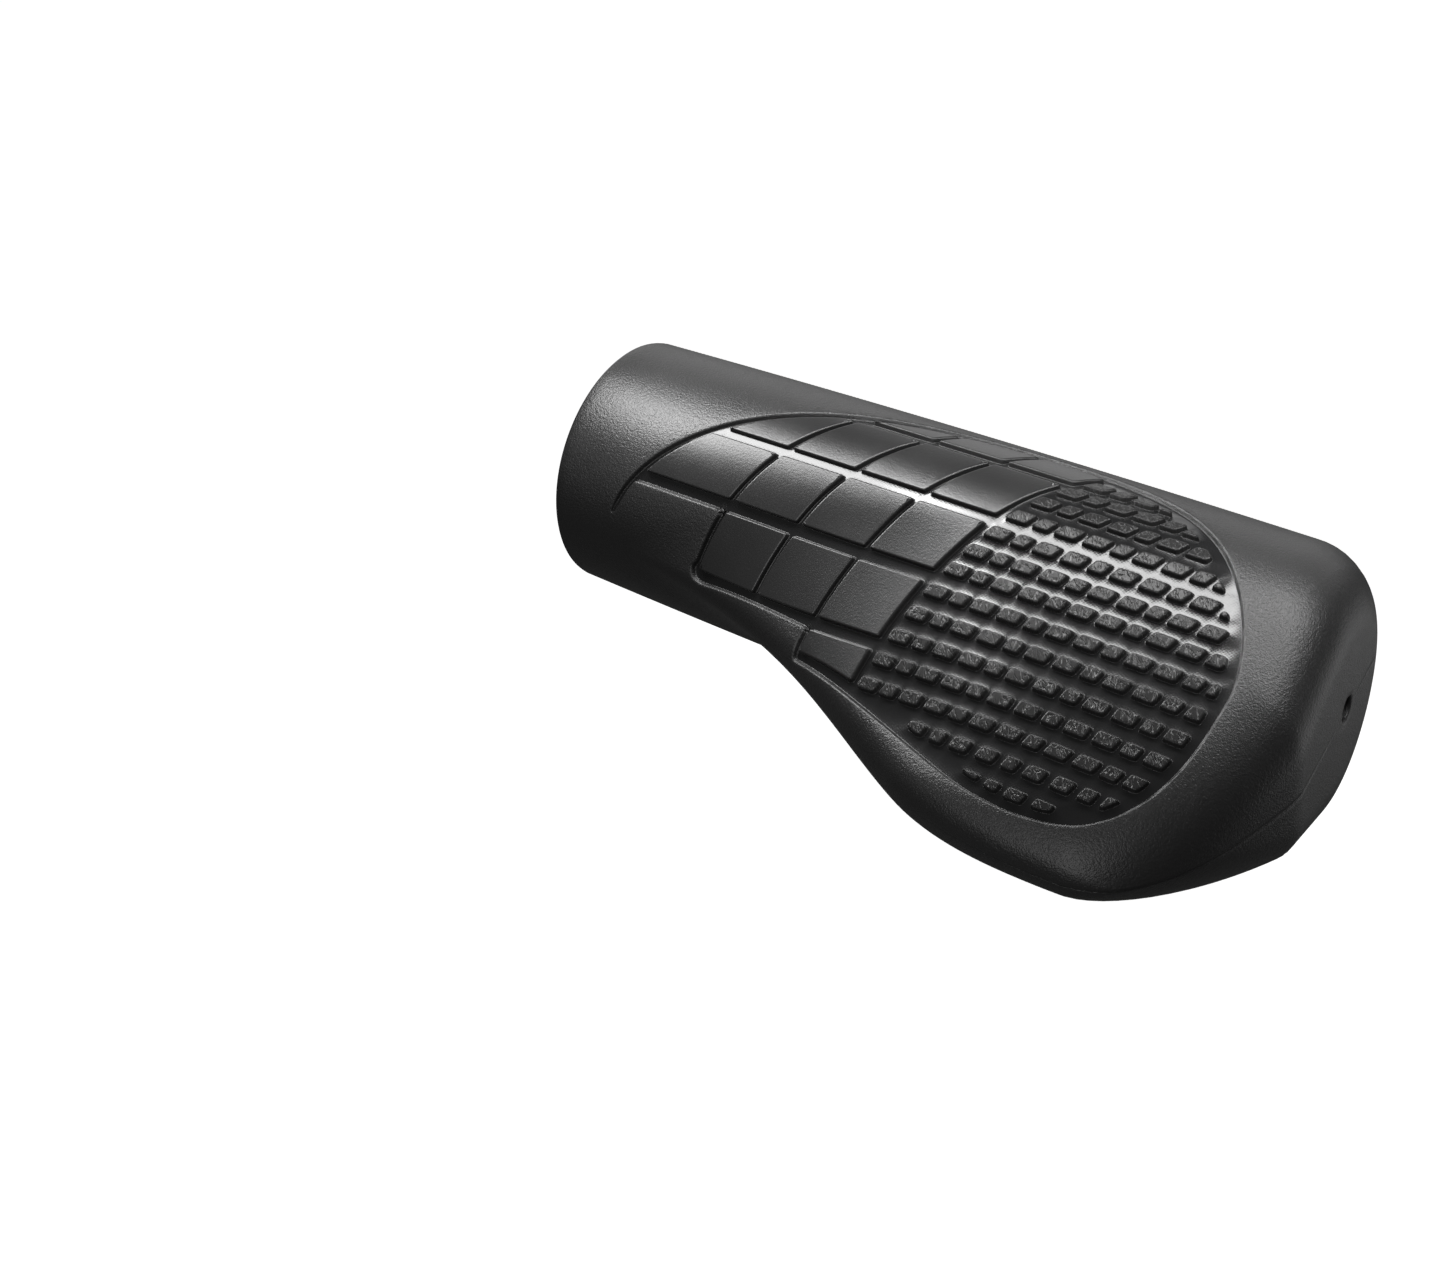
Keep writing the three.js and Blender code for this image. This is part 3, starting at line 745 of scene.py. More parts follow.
    def build(self) -> Any:
        """Make the shell without the part that the wrapped sheet fills."""
        rings = self._pressed_seam(self.rings)
        total, count = rings.shape[:2]
        front, last = self.sheet_columns()
        rows = range(self.outer_from + self.first_station,
                     self.outer_from + len(self.stations) - 1)
        columns = set(range(last)) | {count - k for k in range(1, front + 1)}
        faces = []
        for i in range(total):
            ahead = (i + 1) % total
            for j in range(count):
                if i in rows and j in columns:
                    continue
                k = (j + 1) % count
                faces.append((i * count + j, i * count + k, ahead * count + k, ahead * count + j))
        return mesh_object("grip_shell", rings.reshape(-1, 3), faces, [0] * len(faces))

    def carrier(self) -> Any:
        """Make the fine skin that the plan is wrapped on, with the plan as its UV map."""
        body = self.body
        x = np.arange(self.sheet_from_x - self.carrier_lead,
                      self.last_x + 2 * self.carrier_pitch, self.carrier_pitch)
        far = body.section(x)["girth"] / body.fan(x) + self.carrier_over
        near = self.carrier_front_v
        t = np.linspace(0.0, 1.0, self.carrier_steps + 1)
        v = near + (far[:, None] - near) * t[None, :]
        plan = np.stack([np.broadcast_to(x[:, None], v.shape), v], -1).reshape(-1, 2)
        points = body.on_girth(plan[:, 0], plan[:, 1] * body.fan(plan[:, 0]))
        width = v.shape[1]
        start = (np.arange(len(x) - 1)[:, None] * width + np.arange(width - 1)).ravel()
        faces = np.column_stack([start, start + width, start + width + 1, start + 1])
        made = mesh_object("grip_carrier", points, faces.tolist())
        store(made.data, "lean", "FLOAT_VECTOR", "POINT", body.normal(points))
        layer = made.data.uv_layers.new(name="plan")
        uv = (plan + [0.0, PLAN_LIFT]) / PLAN_SPAN
        layer.data.foreach_set("uv", uv[faces.ravel()].astype(np.float32).ravel())
        return made


def store(mesh: Any, name: str, kind: str, domain: str, values: Points) -> None:
    """Write a named attribute to a mesh."""
    attribute = mesh.attributes.new(name, kind, domain)
    flat = values.astype(int if kind == "INT" else np.float32).ravel()
    attribute.data.foreach_set("vector" if kind == "FLOAT_VECTOR" else "value", flat)


@dataclass(frozen=True)
class Relief:
    """Sizes of the walls and rounds that geometry nodes raise from the plan."""

    depth: float = 0.65
    draft: float = 0.08
    lip_round: float = 0.32
    floor_round: float = 0.16
    foot_round: float = 0.1
    edge_round: float = 0.22
    support: float = 0.07
    steps: int = 4


@dataclass
class FlatSheet:
    """The plan as one flat mesh, with what the node tree needs stored on its points."""

    shell: Shell
    plan: TreadPlan
    relief: Relief
    tile_pitch: float = 1.3
    bare: float = 0.75
    snug: float = 0.45
    merged: float = 1e-5
    tip_run: float = 2.5
    tip_least: float = 0.4

    def build(self) -> Any:
        """Triangulate the plan between all its outlines and return the mesh object."""
        border, inner = self.shell.border()
        panel = self.plan.outline
        tiles, blocks = self.plan.tiles(), self.plan.small_blocks()
        log.info("tread plan: %d tiles and %d blocks", len(tiles), len(blocks))
        foot = self.relief.draft + self.relief.foot_round
        clear = panel.clearance(inner) > self.bare
        loose = [inner[clear & ~panel.holds(inner)], *(self._filling(tile) for tile in tiles)]
        rings = [border, panel.grown(self.relief.lip_round)]
        bases = [border, panel.points]
        outs = [np.zeros_like(border), panel.out]
        for piece in [*tiles, *blocks]:
            out = piece.out * min(1.0, piece.room() / self.snug)
            rings.append(piece.points + out * foot)
            bases.append(piece.points)
            outs.append(out)
        ends = np.cumsum([len(r) for r in rings])
        faces = [list(range(end - len(r), end)) for end, r in zip(ends, rings)]
        placed = np.vstack([*rings, *loose])
        count = len(placed) - ends[-1]
        base = np.vstack([*bases, placed[ends[-1]:]])
        out = np.vstack([*outs, np.zeros((count, 2))])
        found, _, triangles, origins, _, inside = delaunay_2d_cdt(
            [Vector(p) for p in placed.tolist()], [], faces, 1, self.merged)
        flat = np.array([tuple(p) for p in found])
        zones = [self._zone(ids, len(tiles)) for ids in inside]
        made = mesh_object("grip_plan", np.column_stack([flat, np.zeros(len(flat))]),
                           [tuple(reversed(t)) for t in triangles])
        self._stored(made.data, flat, origins, base, out, len(border), int(ends[1]), int(ends[-1]))
        store(made.data, "zone", "INT", "FACE", np.array(zones))
        return made

    def _filling(self, tile: Outline) -> Points:
        """Return the points inside a tile that let it follow the body."""
        low, high = tile.points.min(axis=0), tile.points.max(axis=0)
        axes = [np.arange(a + self.tile_pitch / 2, b, self.tile_pitch) for a, b in zip(low, high)]
        grid = np.stack(np.meshgrid(*axes), -1).reshape(-1, 2)
        if not len(grid):
            return grid
        return grid[tile.holds(grid) & (tile.clearance(grid) > self.bare)]

    @staticmethod
    def _zone(ids: list[int], tiles: int) -> int:
        """Return the zone of a face from the outlines that hold it: border, panel, tread."""
        deepest = max(ids, default=0)
        if deepest < 2:
            return (Zone.SKIN, Zone.FLOOR)[deepest].value
        return (Zone.TILE if deepest < 2 + tiles else Zone.BLOCK).value

    def _stored(self, mesh: Any, flat: Points, origins: list, base: Points, out: Points,
                panel_from: int, panel_to: int, tread_to: int) -> None:
        """Store each point's place on its outline and its outward direction.

        Args:
            mesh: The flat mesh.
            flat: Its points.
            origins: For each of them, the points that it was made from.
            base: Places of those on their outlines.
            out: Their outward directions.
            panel_from: Number of the first point on the panel's outline.
            panel_to: Number after its last one.
            tread_to: Number after the last point on the tiles' and blocks' outlines.
        """
        panel_plan, panel_out = flat.copy(), np.zeros_like(flat)
        tread_plan, tread_out = flat.copy(), np.zeros_like(flat)
        for i, ids in enumerate(origins):
            if not ids:
                continue
            source = ids[0]
            if panel_from <= source < panel_to:
                panel_plan[i], panel_out[i] = base[source], out[source]
            elif panel_to <= source < tread_to:
                tread_plan[i], tread_out[i] = base[source], out[source]
        off_tip = smoothstep(np.linalg.norm(flat - self.plan.tail, axis=1), 0.0, self.tip_run)
        panel_out *= (self.tip_least + (1.0 - self.tip_least) * off_tip)[:, None]
        for name, values, scale in (("panel_plan", panel_plan, MM), ("panel_out", panel_out, 1.0),
                                    ("tread_plan", tread_plan, MM), ("tread_out", tread_out, 1.0)):
            solid = np.column_stack([values * scale, np.zeros(len(values))])
            store(mesh, name, "FLOAT_VECTOR", "POINT", solid)
        store(mesh, "sink", "FLOAT", "POINT", self.plan.sink(flat))


class Graph:
    """A node tree that is built by short calls."""

    def __init__(self, tree: Any) -> None:
        """Take the tree and clear it."""
        self.tree = tree
        tree.nodes.clear()
        self.column = 0

    @classmethod
    def group(cls, name: str, kind: str, inputs: dict, outputs: dict) -> "Graph":
        """Make a node group with named sockets.

        Args:
            name: Name of the group.
            kind: Type of tree.
            inputs: For each input, its socket type and its value, or None.
            outputs: For each output, its socket type.

        Returns:
            The graph, with the group's input and output nodes in place.
        """
        graph = cls(bpy.data.node_groups.new(name, kind))
        for label, (socket, value) in inputs.items():
            made = graph.tree.interface.new_socket(label, in_out="INPUT", socket_type=socket)
            if value is not None:
                made.default_value = value
        for label, socket in outputs.items():
            graph.tree.interface.new_socket(label, in_out="OUTPUT", socket_type=socket)
        graph.start = graph.tree.nodes.new("NodeGroupInput")
        graph.end = graph.tree.nodes.new("NodeGroupOutput")
        return graph

    def add(self, kind: str, inputs: dict | None = None, **settings: Any) -> Any:
        """Add a node, and link or set its inputs.

        Args:
            kind: Type of node.
            inputs: Sockets or plain values, by the name or number of the input.
            settings: Properties of the node, set before its inputs.

        Returns:
            The node.
        """
        node = self.tree.nodes.new(kind)
        self.column += 1
        node.location = (180 * (self.column % 12), -220 * (self.column // 12))
        for name, value in settings.items():
            setattr(node, name, value)
        for key, value in (inputs or {}).items():
            self.feed(node.inputs[key], value)
        return node

    def feed(self, socket: Any, value: Any) -> None:
        """Link a socket to another one, or set its value."""
        if isinstance(value, bpy.types.NodeSocket):
            self.tree.links.new(value, socket)
        else:
            socket.default_value = value

    def math(self, operation: str, *values: Any) -> Any:
        """Return the result of a Math node."""
        kind = "ShaderNodeMath"
        return self.add(kind, dict(enumerate(values)), operation=operation).outputs[0]

    def vector(self, operation: str, *values: Any) -> Any:
        """Return the result of a Vector Math node."""
        node = self.tree.nodes.new("ShaderNodeVectorMath")
        node.operation = operation
        for i, value in enumerate(values):
            key = "Scale" if operation == "SCALE" and i == 1 else i
            self.feed(node.inputs[key], value)
        return node.outputs["Value" if operation in ("LENGTH", "DOT_PRODUCT") else "Vector"]

    def named(self, name: str, kind: str = "FLOAT_VECTOR") -> Any:
        """Return a named attribute of a mesh."""
        node = self.add("GeometryNodeInputNamedAttribute", {"Name": name}, data_type=kind)
        return node.outputs[0]

    def added(self, base: Any, value: Any, factor: Any) -> Any:
        """Return the base plus a value times a factor."""
        return self.math("ADD", base, self.math("MULTIPLY", value, factor))

    def nested(self, group: "Graph", inputs: dict) -> Any:
        """Add a group node of another graph of the same kind."""
        shader = self.tree.bl_idname == "ShaderNodeTree"
        kind = "ShaderNodeGroup" if shader else "GeometryNodeGroup"
        node = self.tree.nodes.new(kind)
        node.node_tree = group.tree
        for key, value in inputs.items():
            self.feed(node.inputs[key], value)
        return node


FLOAT, VECTOR = "NodeSocketFloat", "NodeSocketVector"
GEOMETRY, BOOLEAN, INTEGER = "NodeSocketGeometry", "NodeSocketBool", "NodeSocketInt"


class ReliefTree:
    """Node tree that sinks the panel, raises the tread and wraps the plan on the body."""

    def __init__(self, relief: Relief) -> None:
        """Build the tree from the relief's sizes."""
        self.relief = relief
        self.ring = self._ring_group()
        self.band = self._band_group()
        self.wrap = self._wrap_group()
        self.graph = self._main_group()

    def _ring_group(self) -> Graph:
        """Return the group that extrudes a region and sets its new rim."""
        graph = Graph.group("raise_ring", "GeometryNodeTree", {
            "Mesh": (GEOMETRY, None), "Region": (BOOLEAN, False), "Plan": (VECTOR, None),
            "Out": (VECTOR, None), "Offset": (FLOAT, 0.0), "Height": (FLOAT, 0.0)},
            {"Mesh": GEOMETRY, "Region": BOOLEAN})
        start = graph.start.outputs
        extrude = graph.add("GeometryNodeExtrudeMesh", {
            "Mesh": start["Mesh"], "Selection": start["Region"], "Offset Scale": 0.0,
            "Individual": False}, mode="FACES")
        offset = graph.vector("SCALE", start["Out"], start["Offset"])
        moved = graph.vector("ADD", start["Plan"], offset)
        height = graph.add("ShaderNodeCombineXYZ", {"Z": start["Height"]}).outputs[0]
        placed = graph.add("GeometryNodeSetPosition", {
            "Geometry": extrude.outputs["Mesh"], "Selection": extrude.outputs["Top"],
            "Position": graph.vector("ADD", moved, height)})
        graph.feed(graph.end.inputs["Mesh"], placed.outputs[0])
        graph.feed(graph.end.inputs["Region"], extrude.outputs["Top"])
        return graph

    def _band_group(self) -> Graph:
        """Return the group that sets rings along a quarter round between two levels."""
        graph = Graph.group("round_band", "GeometryNodeTree", {
            "Mesh": (GEOMETRY, None), "Region": (BOOLEAN, False), "Plan": (VECTOR, None),
            "Out": (VECTOR, None), "Sink": (FLOAT, 1.0), "Start Offset": (FLOAT, 0.0),
            "Start Height": (FLOAT, 0.0), "End Offset": (FLOAT, 0.0),
            "End Height": (FLOAT, 0.0), "Steps": (INTEGER, 4), "First": (INTEGER, 0),
            "Level First": (FLOAT, 0.0)}, {"Mesh": GEOMETRY, "Region": BOOLEAN})
        start = graph.start.outputs
        opening = graph.add("GeometryNodeRepeatInput")
        closing = graph.add("GeometryNodeRepeatOutput")
        opening.pair_with_output(closing)
        closing.repeat_items.new("BOOLEAN", "Region")
        rounds = graph.math("SUBTRACT", graph.math("ADD", start["Steps"], 1.0), start["First"])
        graph.feed(opening.inputs["Iterations"], rounds)
        graph.feed(opening.inputs["Geometry"], start["Mesh"])
        graph.feed(opening.inputs["Region"], start["Region"])
        at = graph.math("ADD", opening.outputs["Iteration"], start["First"])
        angle = graph.math("MULTIPLY", graph.math("DIVIDE", at, start["Steps"]), math.pi / 2)
        quick = graph.math("SINE", angle)
        slow = graph.math("SUBTRACT", 1.0, graph.math("COSINE", angle))
        across = self._mix(graph, slow, quick, start["Level First"])
        rise = self._mix(graph, quick, slow, start["Level First"])
        height = self._mix(graph, start["Start Height"], start["End Height"], rise)
        ring = graph.nested(self.ring, {
            "Mesh": opening.outputs["Geometry"], "Region": opening.outputs["Region"],
            "Plan": start["Plan"], "Out": start["Out"],
            "Offset": self._mix(graph, start["Start Offset"], start["End Offset"], across),
            "Height": graph.math("MULTIPLY", height, start["Sink"])})
        graph.feed(closing.inputs["Geometry"], ring.outputs["Mesh"])
        graph.feed(closing.inputs["Region"], ring.outputs["Region"])
        graph.feed(graph.end.inputs["Mesh"], closing.outputs["Geometry"])
        graph.feed(graph.end.inputs["Region"], closing.outputs["Region"])
        return graph

    @staticmethod
    def _mix(graph: Graph, low: Any, high: Any, share: Any) -> Any:
        """Return the value a share of the way from low to high."""
        return graph.added(low, graph.math("SUBTRACT", high, low), share)

    def _wrap_group(self) -> Graph:
        """Return the group that lays the raised plan on the carrier."""
        graph = Graph.group("wrap_on_body", "GeometryNodeTree", {
            "Mesh": (GEOMETRY, None), "Carrier": ("NodeSocketObject", None),
            "Span": (FLOAT, PLAN_SPAN * MM), "Lift": (FLOAT, PLAN_LIFT * MM)}, {"Mesh": GEOMETRY})
        start = graph.start.outputs
        place = graph.add("GeometryNodeInputPosition").outputs[0]
        split = graph.add("ShaderNodeSeparateXYZ", {0: place}).outputs
        lifted = graph.math("ADD", split["Y"], start["Lift"])
        spot = graph.add("ShaderNodeCombineXYZ", {
            "X": graph.math("DIVIDE", split["X"], start["Span"]),
            "Y": graph.math("DIVIDE", lifted, start["Span"])}).outputs[0]
        mapped = graph.add("GeometryNodeStoreNamedAttribute", {
            "Geometry": start["Mesh"], "Name": "plan", "Value": spot},
            data_type="FLOAT2", domain="CORNER")
        carrier = graph.add("GeometryNodeObjectInfo", {"Object": start["Carrier"]},
                            transform_space="ORIGINAL").outputs["Geometry"]
        carrier_map = graph.named("plan")
        sampled = [graph.add("GeometryNodeSampleUVSurface", {
            "Mesh": carrier, "Value": value, "Source UV Map": carrier_map, "Sample UV": spot},
            data_type="FLOAT_VECTOR").outputs["Value"] for value in (place, graph.named("lean"))]
        raised = graph.vector("SCALE", graph.vector("NORMALIZE", sampled[1]), split["Z"])
        moved = graph.add("GeometryNodeSetPosition", {
            "Geometry": mapped.outputs[0], "Position": graph.vector("ADD", sampled[0], raised)})
        graph.feed(graph.end.inputs["Mesh"], moved.outputs[0])
        return graph

    def _main_group(self) -> Graph:
        """Return the whole tree, with its sizes and finishes as named inputs."""
        r = self.relief
        sizes = {"Depth": r.depth, "Draft": r.draft, "Lip Round": r.lip_round,
                 "Floor Round": r.floor_round, "Foot Round": r.foot_round,
                 "Edge Round": r.edge_round, "Support": r.support}
        inputs = {"Geometry": (GEOMETRY, None), "Carrier": ("NodeSocketObject", None),
                  "Steps": (INTEGER, r.steps)}
        inputs |= {name: (FLOAT, size * MM) for name, size in sizes.items()}
        inputs |= {zone.name: ("NodeSocketMaterial", None) for zone in Zone}
        graph = Graph.group("grip_relief", "GeometryNodeTree", inputs, {"Geometry": GEOMETRY})
        start = graph.start.outputs
        under = graph.math("MULTIPLY", start["Depth"], -1.0)
        out_wall = graph.math("MULTIPLY", start["Draft"], -1.0)
        out_floor = graph.math("SUBTRACT", out_wall, start["Floor Round"])
        foot = graph.math("ADD", start["Draft"], start["Foot Round"])
        below_lip = graph.math("MULTIPLY", start["Lip Round"], -1.0)
        below_edge = graph.math("MULTIPLY", start["Edge Round"], -1.0)
        within = graph.math("SUBTRACT", below_edge, start["Support"])
        over_floor = graph.math("ADD", under, start["Floor Round"])
        over_foot = graph.math("ADD", under, start["Foot Round"])
        panel = {"Plan": graph.named("panel_plan"), "Out": graph.named("panel_out"),
                 "Sink": graph.named("sink", "FLOAT"), "Steps": start["Steps"]}
        tread = {"Plan": graph.named("tread_plan"), "Out": graph.named("tread_out"),
                 "Steps": start["Steps"]}
        in_panel = self._zone_test(graph, "GREATER_EQUAL", Zone.FLOOR)
        in_tread = self._zone_test(graph, "GREATER_EQUAL", Zone.TILE)
        mesh, region = self._bands(graph, panel, start["Geometry"], in_panel, (
            (start["Lip Round"], 0.0, 0.0, below_lip, 1, 1.0),
            (out_wall, over_floor, out_floor, under, 0, 0.0)))
        mesh = self._walls(graph, mesh, region)
        mesh, region = self._bands(graph, tread, mesh, in_tread, (
            (foot, under, start["Draft"], over_foot, 1, 1.0),
            (0.0, below_edge, below_edge, 0.0, 0, 0.0)))
        flat = graph.nested(self.ring, {
            "Mesh": mesh, "Region": region, "Plan": tread["Plan"], "Out": tread["Out"],
            "Offset": within, "Height": 0.0})
        wrapped = graph.nested(self.wrap, {"Mesh": flat.outputs["Mesh"],
                                           "Carrier": start["Carrier"]})
        mesh = graph.add("GeometryNodeRealizeInstances",
                         {"Geometry": wrapped.outputs["Mesh"]}).outputs[0]
        for kind in Zone:
            chosen = self._zone_test(graph, "EQUAL", kind)
            mesh = graph.add("GeometryNodeSetMaterial", {
                "Geometry": mesh, "Selection": chosen, "Material": start[kind.name]}).outputs[0]
        graph.feed(graph.end.inputs["Geometry"], mesh)
        return graph

    @staticmethod
    def _zone_test(graph: Graph, operation: str, zone: Zone) -> Any:
        """Return which faces have a zone number that compares so with the zone's."""
        return graph.add("FunctionNodeCompare", {"A": graph.named("zone", "INT"),
                                                 "B": zone.value},
                         data_type="INT", operation=operation).outputs[0]

    def _bands(self, graph: Graph, common: dict, mesh: Any, region: Any,
               bands: tuple) -> tuple[Any, Any]:
        """Set round bands one after the other.

        Args:
            graph: The tree to add them to.
            common: The inputs that they share.
            mesh: The mesh before them.
            region: Its faces that they raise or sink.
            bands: For each, its offset and height at its start and at its end, the number of
                its first ring, and 1 if it leaves level or 0 if it leaves upright.

        Returns:
            The mesh after them, and the faces inside the last ring.
        """
        names = ("Start Offset", "Start Height", "End Offset", "End Height", "First",
                 "Level First")
        for values in bands:
            inputs = common | {"Mesh": mesh, "Region": region} | dict(zip(names, values))
            band = graph.nested(self.band, inputs).outputs
            mesh, region = band["Mesh"], band["Region"]
        return mesh, region

    @classmethod
    def _walls(cls, graph: Graph, mesh: Any, region: Any) -> Any:
        """Mark the panel's wall as skin: what was in the panel, and is not on its floor."""
        inside = cls._zone_test(graph, "GREATER_EQUAL", Zone.FLOOR)
        off_floor = graph.add("FunctionNodeBooleanMath", {0: region}, operation="NOT").outputs[0]
        wall = graph.add("FunctionNodeBooleanMath", {0: inside, 1: off_floor},
                         operation="AND").outputs[0]
        return graph.add("GeometryNodeStoreNamedAttribute", {
            "Geometry": mesh, "Selection": wall, "Name": "zone", "Value": Zone.SKIN.value},
            data_type="INT", domain="FACE").outputs[0]

    def apply(self, sheet: Any, carrier: Any, finishes: dict[Zone, Any]) -> Any:
        """Run the tree on the flat sheet and return the result as a plain mesh.

        Args:
            sheet: The flat plan's object.
            carrier: The skin to wrap it on.
            finishes: The material of each zone.

        Returns:
            The wrapped mesh.
        """
        modifier = sheet.modifiers.new("relief", "NODES")
        modifier.node_group = self.graph.tree
        keys = {item.name: item.identifier for item in self.graph.tree.interface.items_tree
                if item.item_type == "SOCKET" and item.in_out == "INPUT"}
        modifier[keys["Carrier"]] = carrier
        for zone, material in finishes.items():
            modifier[keys[zone.name]] = material
        graph = bpy.context.evaluated_depsgraph_get()
        mesh = bpy.data.meshes.new_from_object(sheet.evaluated_get(graph))
        sheet.modifiers.remove(modifier)
        return mesh


@dataclass(frozen=True)
class RubberFinish:
    """How one kind of surface on the grip looks."""

    name: str
    colour: tuple[float, float, float]
    roughness: float
    specular: float
    grain_size: float
    grain_height: float
    hatch_height: float = 0.0
    wrinkle_height: float = 0.0
    speckle: float = 0.3


SKIN = RubberFinish("rubber_skin", (0.0110, 0.0109, 0.0110), 0.41, 0.50, 0.16, 0.075)
FLOOR = RubberFinish("rubber_floor", (0.0080, 0.0080, 0.0082), 0.17, 0.50, 0.12, 0.0012,
                     hatch_height=0.0016, speckle=0.15)
TILE = RubberFinish("rubber_tile", (0.0110, 0.0109, 0.0110), 0.32, 0.48, 0.14, 0.020)
BLOCK = RubberFinish("rubber_block", (0.0165, 0.0163, 0.0163), 0.25, 0.22, 0.15, 0.012,
                     wrinkle_height=0.045)


@dataclass
class RubberShop:
    """Makes the grip's materials from shared effects."""

    coarse_share: float = 0.45
    pit_weight: float = -0.5
    hatch_turns: tuple = (1.15, -0.6)
    wrinkle_stretch: tuple = (1.0, 0.28, 1.0)
    wrinkle_sharpness: float = 14.0
    tone_drift: float = 0.5
    sheen_drift: float = 0.12

    def __post_init__(self) -> None:
        """Build the shared effects once."""
        self.grain = self._grain()
        self.hatch = self._hatch()
        self.wrinkle = self._wrinkle()
        self.handling = self._handling()

    def _grain(self) -> Graph:
        """Return the fine sand grain of a blasted mould."""
        graph = Graph.group("sand_grain", "ShaderNodeTree", {
            "Vector": (VECTOR, None), "Size": (FLOAT, 0.16)},
            {"Height": FLOAT, "Speckle": FLOAT})
        start = graph.start.outputs
        rate = graph.math("DIVIDE", 1.0 / MM, start["Size"])
        coarse = graph.add("ShaderNodeTexNoise", {
            "Vector": start["Vector"], "Scale": graph.math("MULTIPLY", rate, self.coarse_share),
            "Detail": 3.0, "Roughness": 0.6}).outputs["Fac"]
        cells = graph.add("ShaderNodeTexVoronoi", {
            "Vector": start["Vector"], "Scale": rate}, feature="SMOOTH_F1")
        height = graph.added(coarse, cells.outputs["Distance"], self.pit_weight)
        graph.feed(graph.end.inputs["Height"], height)
        graph.feed(graph.end.inputs["Speckle"], coarse)
        return graph

    @staticmethod
    def _turned_plan(graph: Graph, angle: Any) -> Any:
        """Return the place on the plan in millimetres, turned by an angle."""
        millimetres = graph.vector("SCALE", graph.start.outputs["Vector"], PLAN_SPAN)
        return graph.add("ShaderNodeVectorRotate", {
            "Vector": millimetres, "Angle": angle}, rotation_type="Z_AXIS").outputs[0]

    def _hatch(self) -> Graph:
        """Return the fine crossed hatch that the cutter left on the panel's floor."""
        steep, shallow = self.hatch_turns
        graph = Graph.group("crossed_hatch", "ShaderNodeTree", {
            "Vector": (VECTOR, None), "Pitch": (FLOAT, 0.3), "Steep": (FLOAT, steep),
            "Shallow": (FLOAT, shallow)}, {"Height": FLOAT})
        start = graph.start.outputs
        heights = []
        for angle in (start["Steep"], start["Shallow"]):
            turned = self._turned_plan(graph, angle)
            across = graph.add("ShaderNodeSeparateXYZ", {0: turned}).outputs["X"]
            phase = graph.math("MULTIPLY", graph.math("DIVIDE", across, start["Pitch"]),
                               2.0 * math.pi)
            heights.append(graph.math("SINE", phase))
        graph.feed(graph.end.inputs["Height"], graph.math("MAXIMUM", *heights))
        return graph

    def _wrinkle(self) -> Graph:
        """Return the hairlines that run slantwise over the blocks."""
        graph = Graph.group("hairline_wrinkles", "ShaderNodeTree", {
            "Vector": (VECTOR, None), "Angle": (FLOAT, 0.6), "Pitch": (FLOAT, 0.55)},
            {"Height": FLOAT})
        start = graph.start.outputs
        turned = self._turned_plan(graph, start["Angle"])
        stretched = graph.vector("MULTIPLY", turned, self.wrinkle_stretch)
        rate = graph.math("DIVIDE", 1.0, start["Pitch"])
        lines = graph.add("ShaderNodeTexNoise", {
            "Vector": stretched, "Scale": rate, "Detail": 2.0, "Roughness": 0.55,
            "Distortion": 0.6}).outputs["Fac"]
        ridge = graph.math("ABSOLUTE", graph.math("SUBTRACT", lines, 0.5))
        height = graph.math("MINIMUM", graph.math("MULTIPLY", ridge, self.wrinkle_sharpness), 1.0)
        graph.feed(graph.end.inputs["Height"], height)
        return graph

    @staticmethod
    def _handling() -> Graph:
        """Return the slow drift of tone and sheen over a moulded part."""
        graph = Graph.group("mould_drift", "ShaderNodeTree", {
            "Vector": (VECTOR, None), "Size": (FLOAT, 14.0)}, {"Drift": FLOAT})
        start = graph.start.outputs
        drift = graph.add("ShaderNodeTexNoise", {
            "Vector": start["Vector"], "Scale": graph.math("DIVIDE", 1.0 / MM, start["Size"]),
            "Detail": 3.0}).outputs["Fac"]
        graph.feed(graph.end.inputs["Drift"], graph.math("SUBTRACT", drift, 0.5))
        return graph

    def make(self, finish: RubberFinish) -> Any:
        """Make the material of a finish.

        Args:
            finish: Its colour, gloss and texture.

        Returns:
            The material.
        """
        material = bpy.data.materials.new(finish.name)
        material.use_nodes = True
        graph = Graph(material.node_tree)
        place = graph.add("ShaderNodeTexCoord").outputs["Object"]
        plan = graph.add("ShaderNodeUVMap", uv_map="plan").outputs[0]
        grain = graph.nested(self.grain, {"Vector": place, "Size": finish.grain_size}).outputs
        drift = graph.nested(self.handling, {"Vector": place}).outputs[0]
        height = graph.math("MULTIPLY", grain["Height"], finish.grain_height)
        for effect, tallness in ((self.hatch, finish.hatch_height),
                                 (self.wrinkle, finish.wrinkle_height)):
            if tallness:
                relief = graph.nested(effect, {"Vector": plan}).outputs[0]
                height = graph.added(height, relief, tallness)
        bump = graph.add("ShaderNodeBump", {
            "Height": height, "Strength": 1.0, "Distance": MM}).outputs[0]
        fleck = graph.math("SUBTRACT", grain["Speckle"], 0.5)
        flecked = graph.added(1.0, fleck, finish.speckle)
        colour = graph.vector("SCALE", finish.colour,
                              graph.added(flecked, drift, self.tone_drift))
        rough = graph.added(finish.roughness, drift, self.sheen_drift)
        shader = graph.add("ShaderNodeBsdfPrincipled", {
            "Base Color": colour, "Roughness": rough, "Specular IOR Level": finish.specular,
            "Normal": bump})
        graph.add("ShaderNodeOutputMaterial", {"Surface": shader.outputs[0]})
        return material


